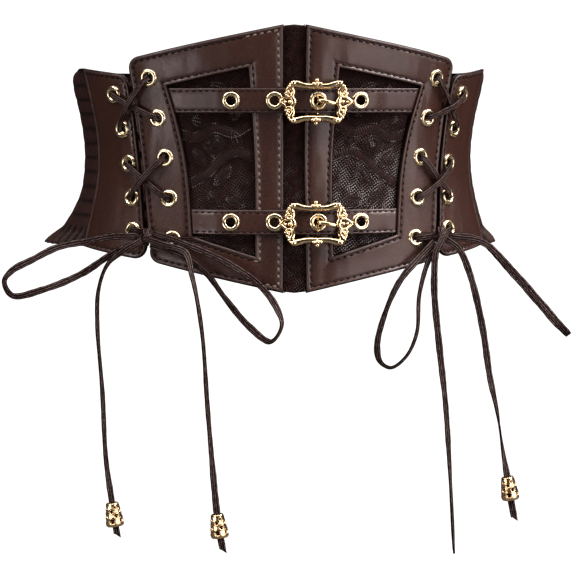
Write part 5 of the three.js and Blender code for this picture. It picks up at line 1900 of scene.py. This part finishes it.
class BELT_OT_side_panels(bpy.types.Operator):
    """Adds the wrapped side panels."""
    bl_idname = "belt.side_panels"
    bl_label = "Side panels"
    bl_options = OPTIONS

    def execute(self, context):
        return finished(build_side_panels)


class BELT_OT_straps(bpy.types.Operator):
    """Adds the sewn straps across the front."""
    bl_idname = "belt.straps"
    bl_label = "Straps"
    bl_options = OPTIONS

    def execute(self, context):
        return finished(build_straps)


class BELT_OT_eyelets(bpy.types.Operator):
    """Adds the rolled gilt eyelets."""
    bl_idname = "belt.eyelets"
    bl_label = "Eyelets"
    bl_options = OPTIONS

    def execute(self, context):
        return finished(build_eyelets)


class BELT_OT_buckles(bpy.types.Operator):
    """Adds the cast buckles and their tongues."""
    bl_idname = "belt.buckles"
    bl_label = "Buckles"
    bl_options = OPTIONS

    def execute(self, context):
        return finished(build_buckles)


class BELT_OT_windows(bpy.types.Operator):
    """Adds the cloth, net and flowers behind the windows."""
    bl_idname = "belt.windows"
    bl_label = "Lace windows"
    bl_options = OPTIONS

    def execute(self, context):
        return finished(build_lace_windows)


class BELT_OT_placket(bpy.types.Operator):
    """Adds the lace strip at the front centre."""
    bl_idname = "belt.placket"
    bl_label = "Placket"
    bl_options = OPTIONS

    def execute(self, context):
        return finished(build_placket)


class BELT_OT_back(bpy.types.Operator):
    """Adds the gathered elastic back with its ruffled hem."""
    bl_idname = "belt.back"
    bl_label = "Elastic back"
    bl_options = OPTIONS

    def execute(self, context):
        return finished(build_back)


OPERATORS = (
    BELT_OT_stage, BELT_OT_beads, BELT_OT_laces, BELT_OT_knots, BELT_OT_lacing, BELT_OT_front_panels,
    BELT_OT_side_panels, BELT_OT_straps, BELT_OT_eyelets, BELT_OT_buckles, BELT_OT_windows,
    BELT_OT_placket, BELT_OT_back,
)


class BELT_PT_build(bpy.types.Panel):
    """Lists the belt's settings and the operators in the order that they run in."""
    bl_idname = "BELT_PT_build"
    bl_label = "Corset belt"
    bl_space_type = "VIEW_3D"
    bl_region_type = "UI"
    bl_category = "Belt"

    def draw(self, context):
        layout = self.layout
        for settings in (context.scene.belt_sizes, context.scene.belt_colours):
            column = layout.column(align=True)
            for name in settings.__annotations__:
                column.prop(settings, name)
        column = layout.column(align=True)
        for operator in OPERATORS:
            column.operator(operator.bl_idname)


CLASSES = (SizeSettings, ColourSettings) + OPERATORS + (BELT_PT_build,)


def register():
    for made in CLASSES:
        bpy.utils.register_class(made)
    bpy.types.Scene.belt_sizes = bpy.props.PointerProperty(type=SizeSettings)
    bpy.types.Scene.belt_colours = bpy.props.PointerProperty(type=ColourSettings)


def unregister():
    del bpy.types.Scene.belt_colours
    del bpy.types.Scene.belt_sizes
    for made in reversed(CLASSES):
        bpy.utils.unregister_class(made)


def main():
    register()
    for operator in OPERATORS:
        group, name = operator.bl_idname.split(".")
        if getattr(getattr(bpy.ops, group), name)() != {"FINISHED"}:
            raise RuntimeError(operator.bl_idname + " did not finish")


if __name__ == "__main__":
    main()
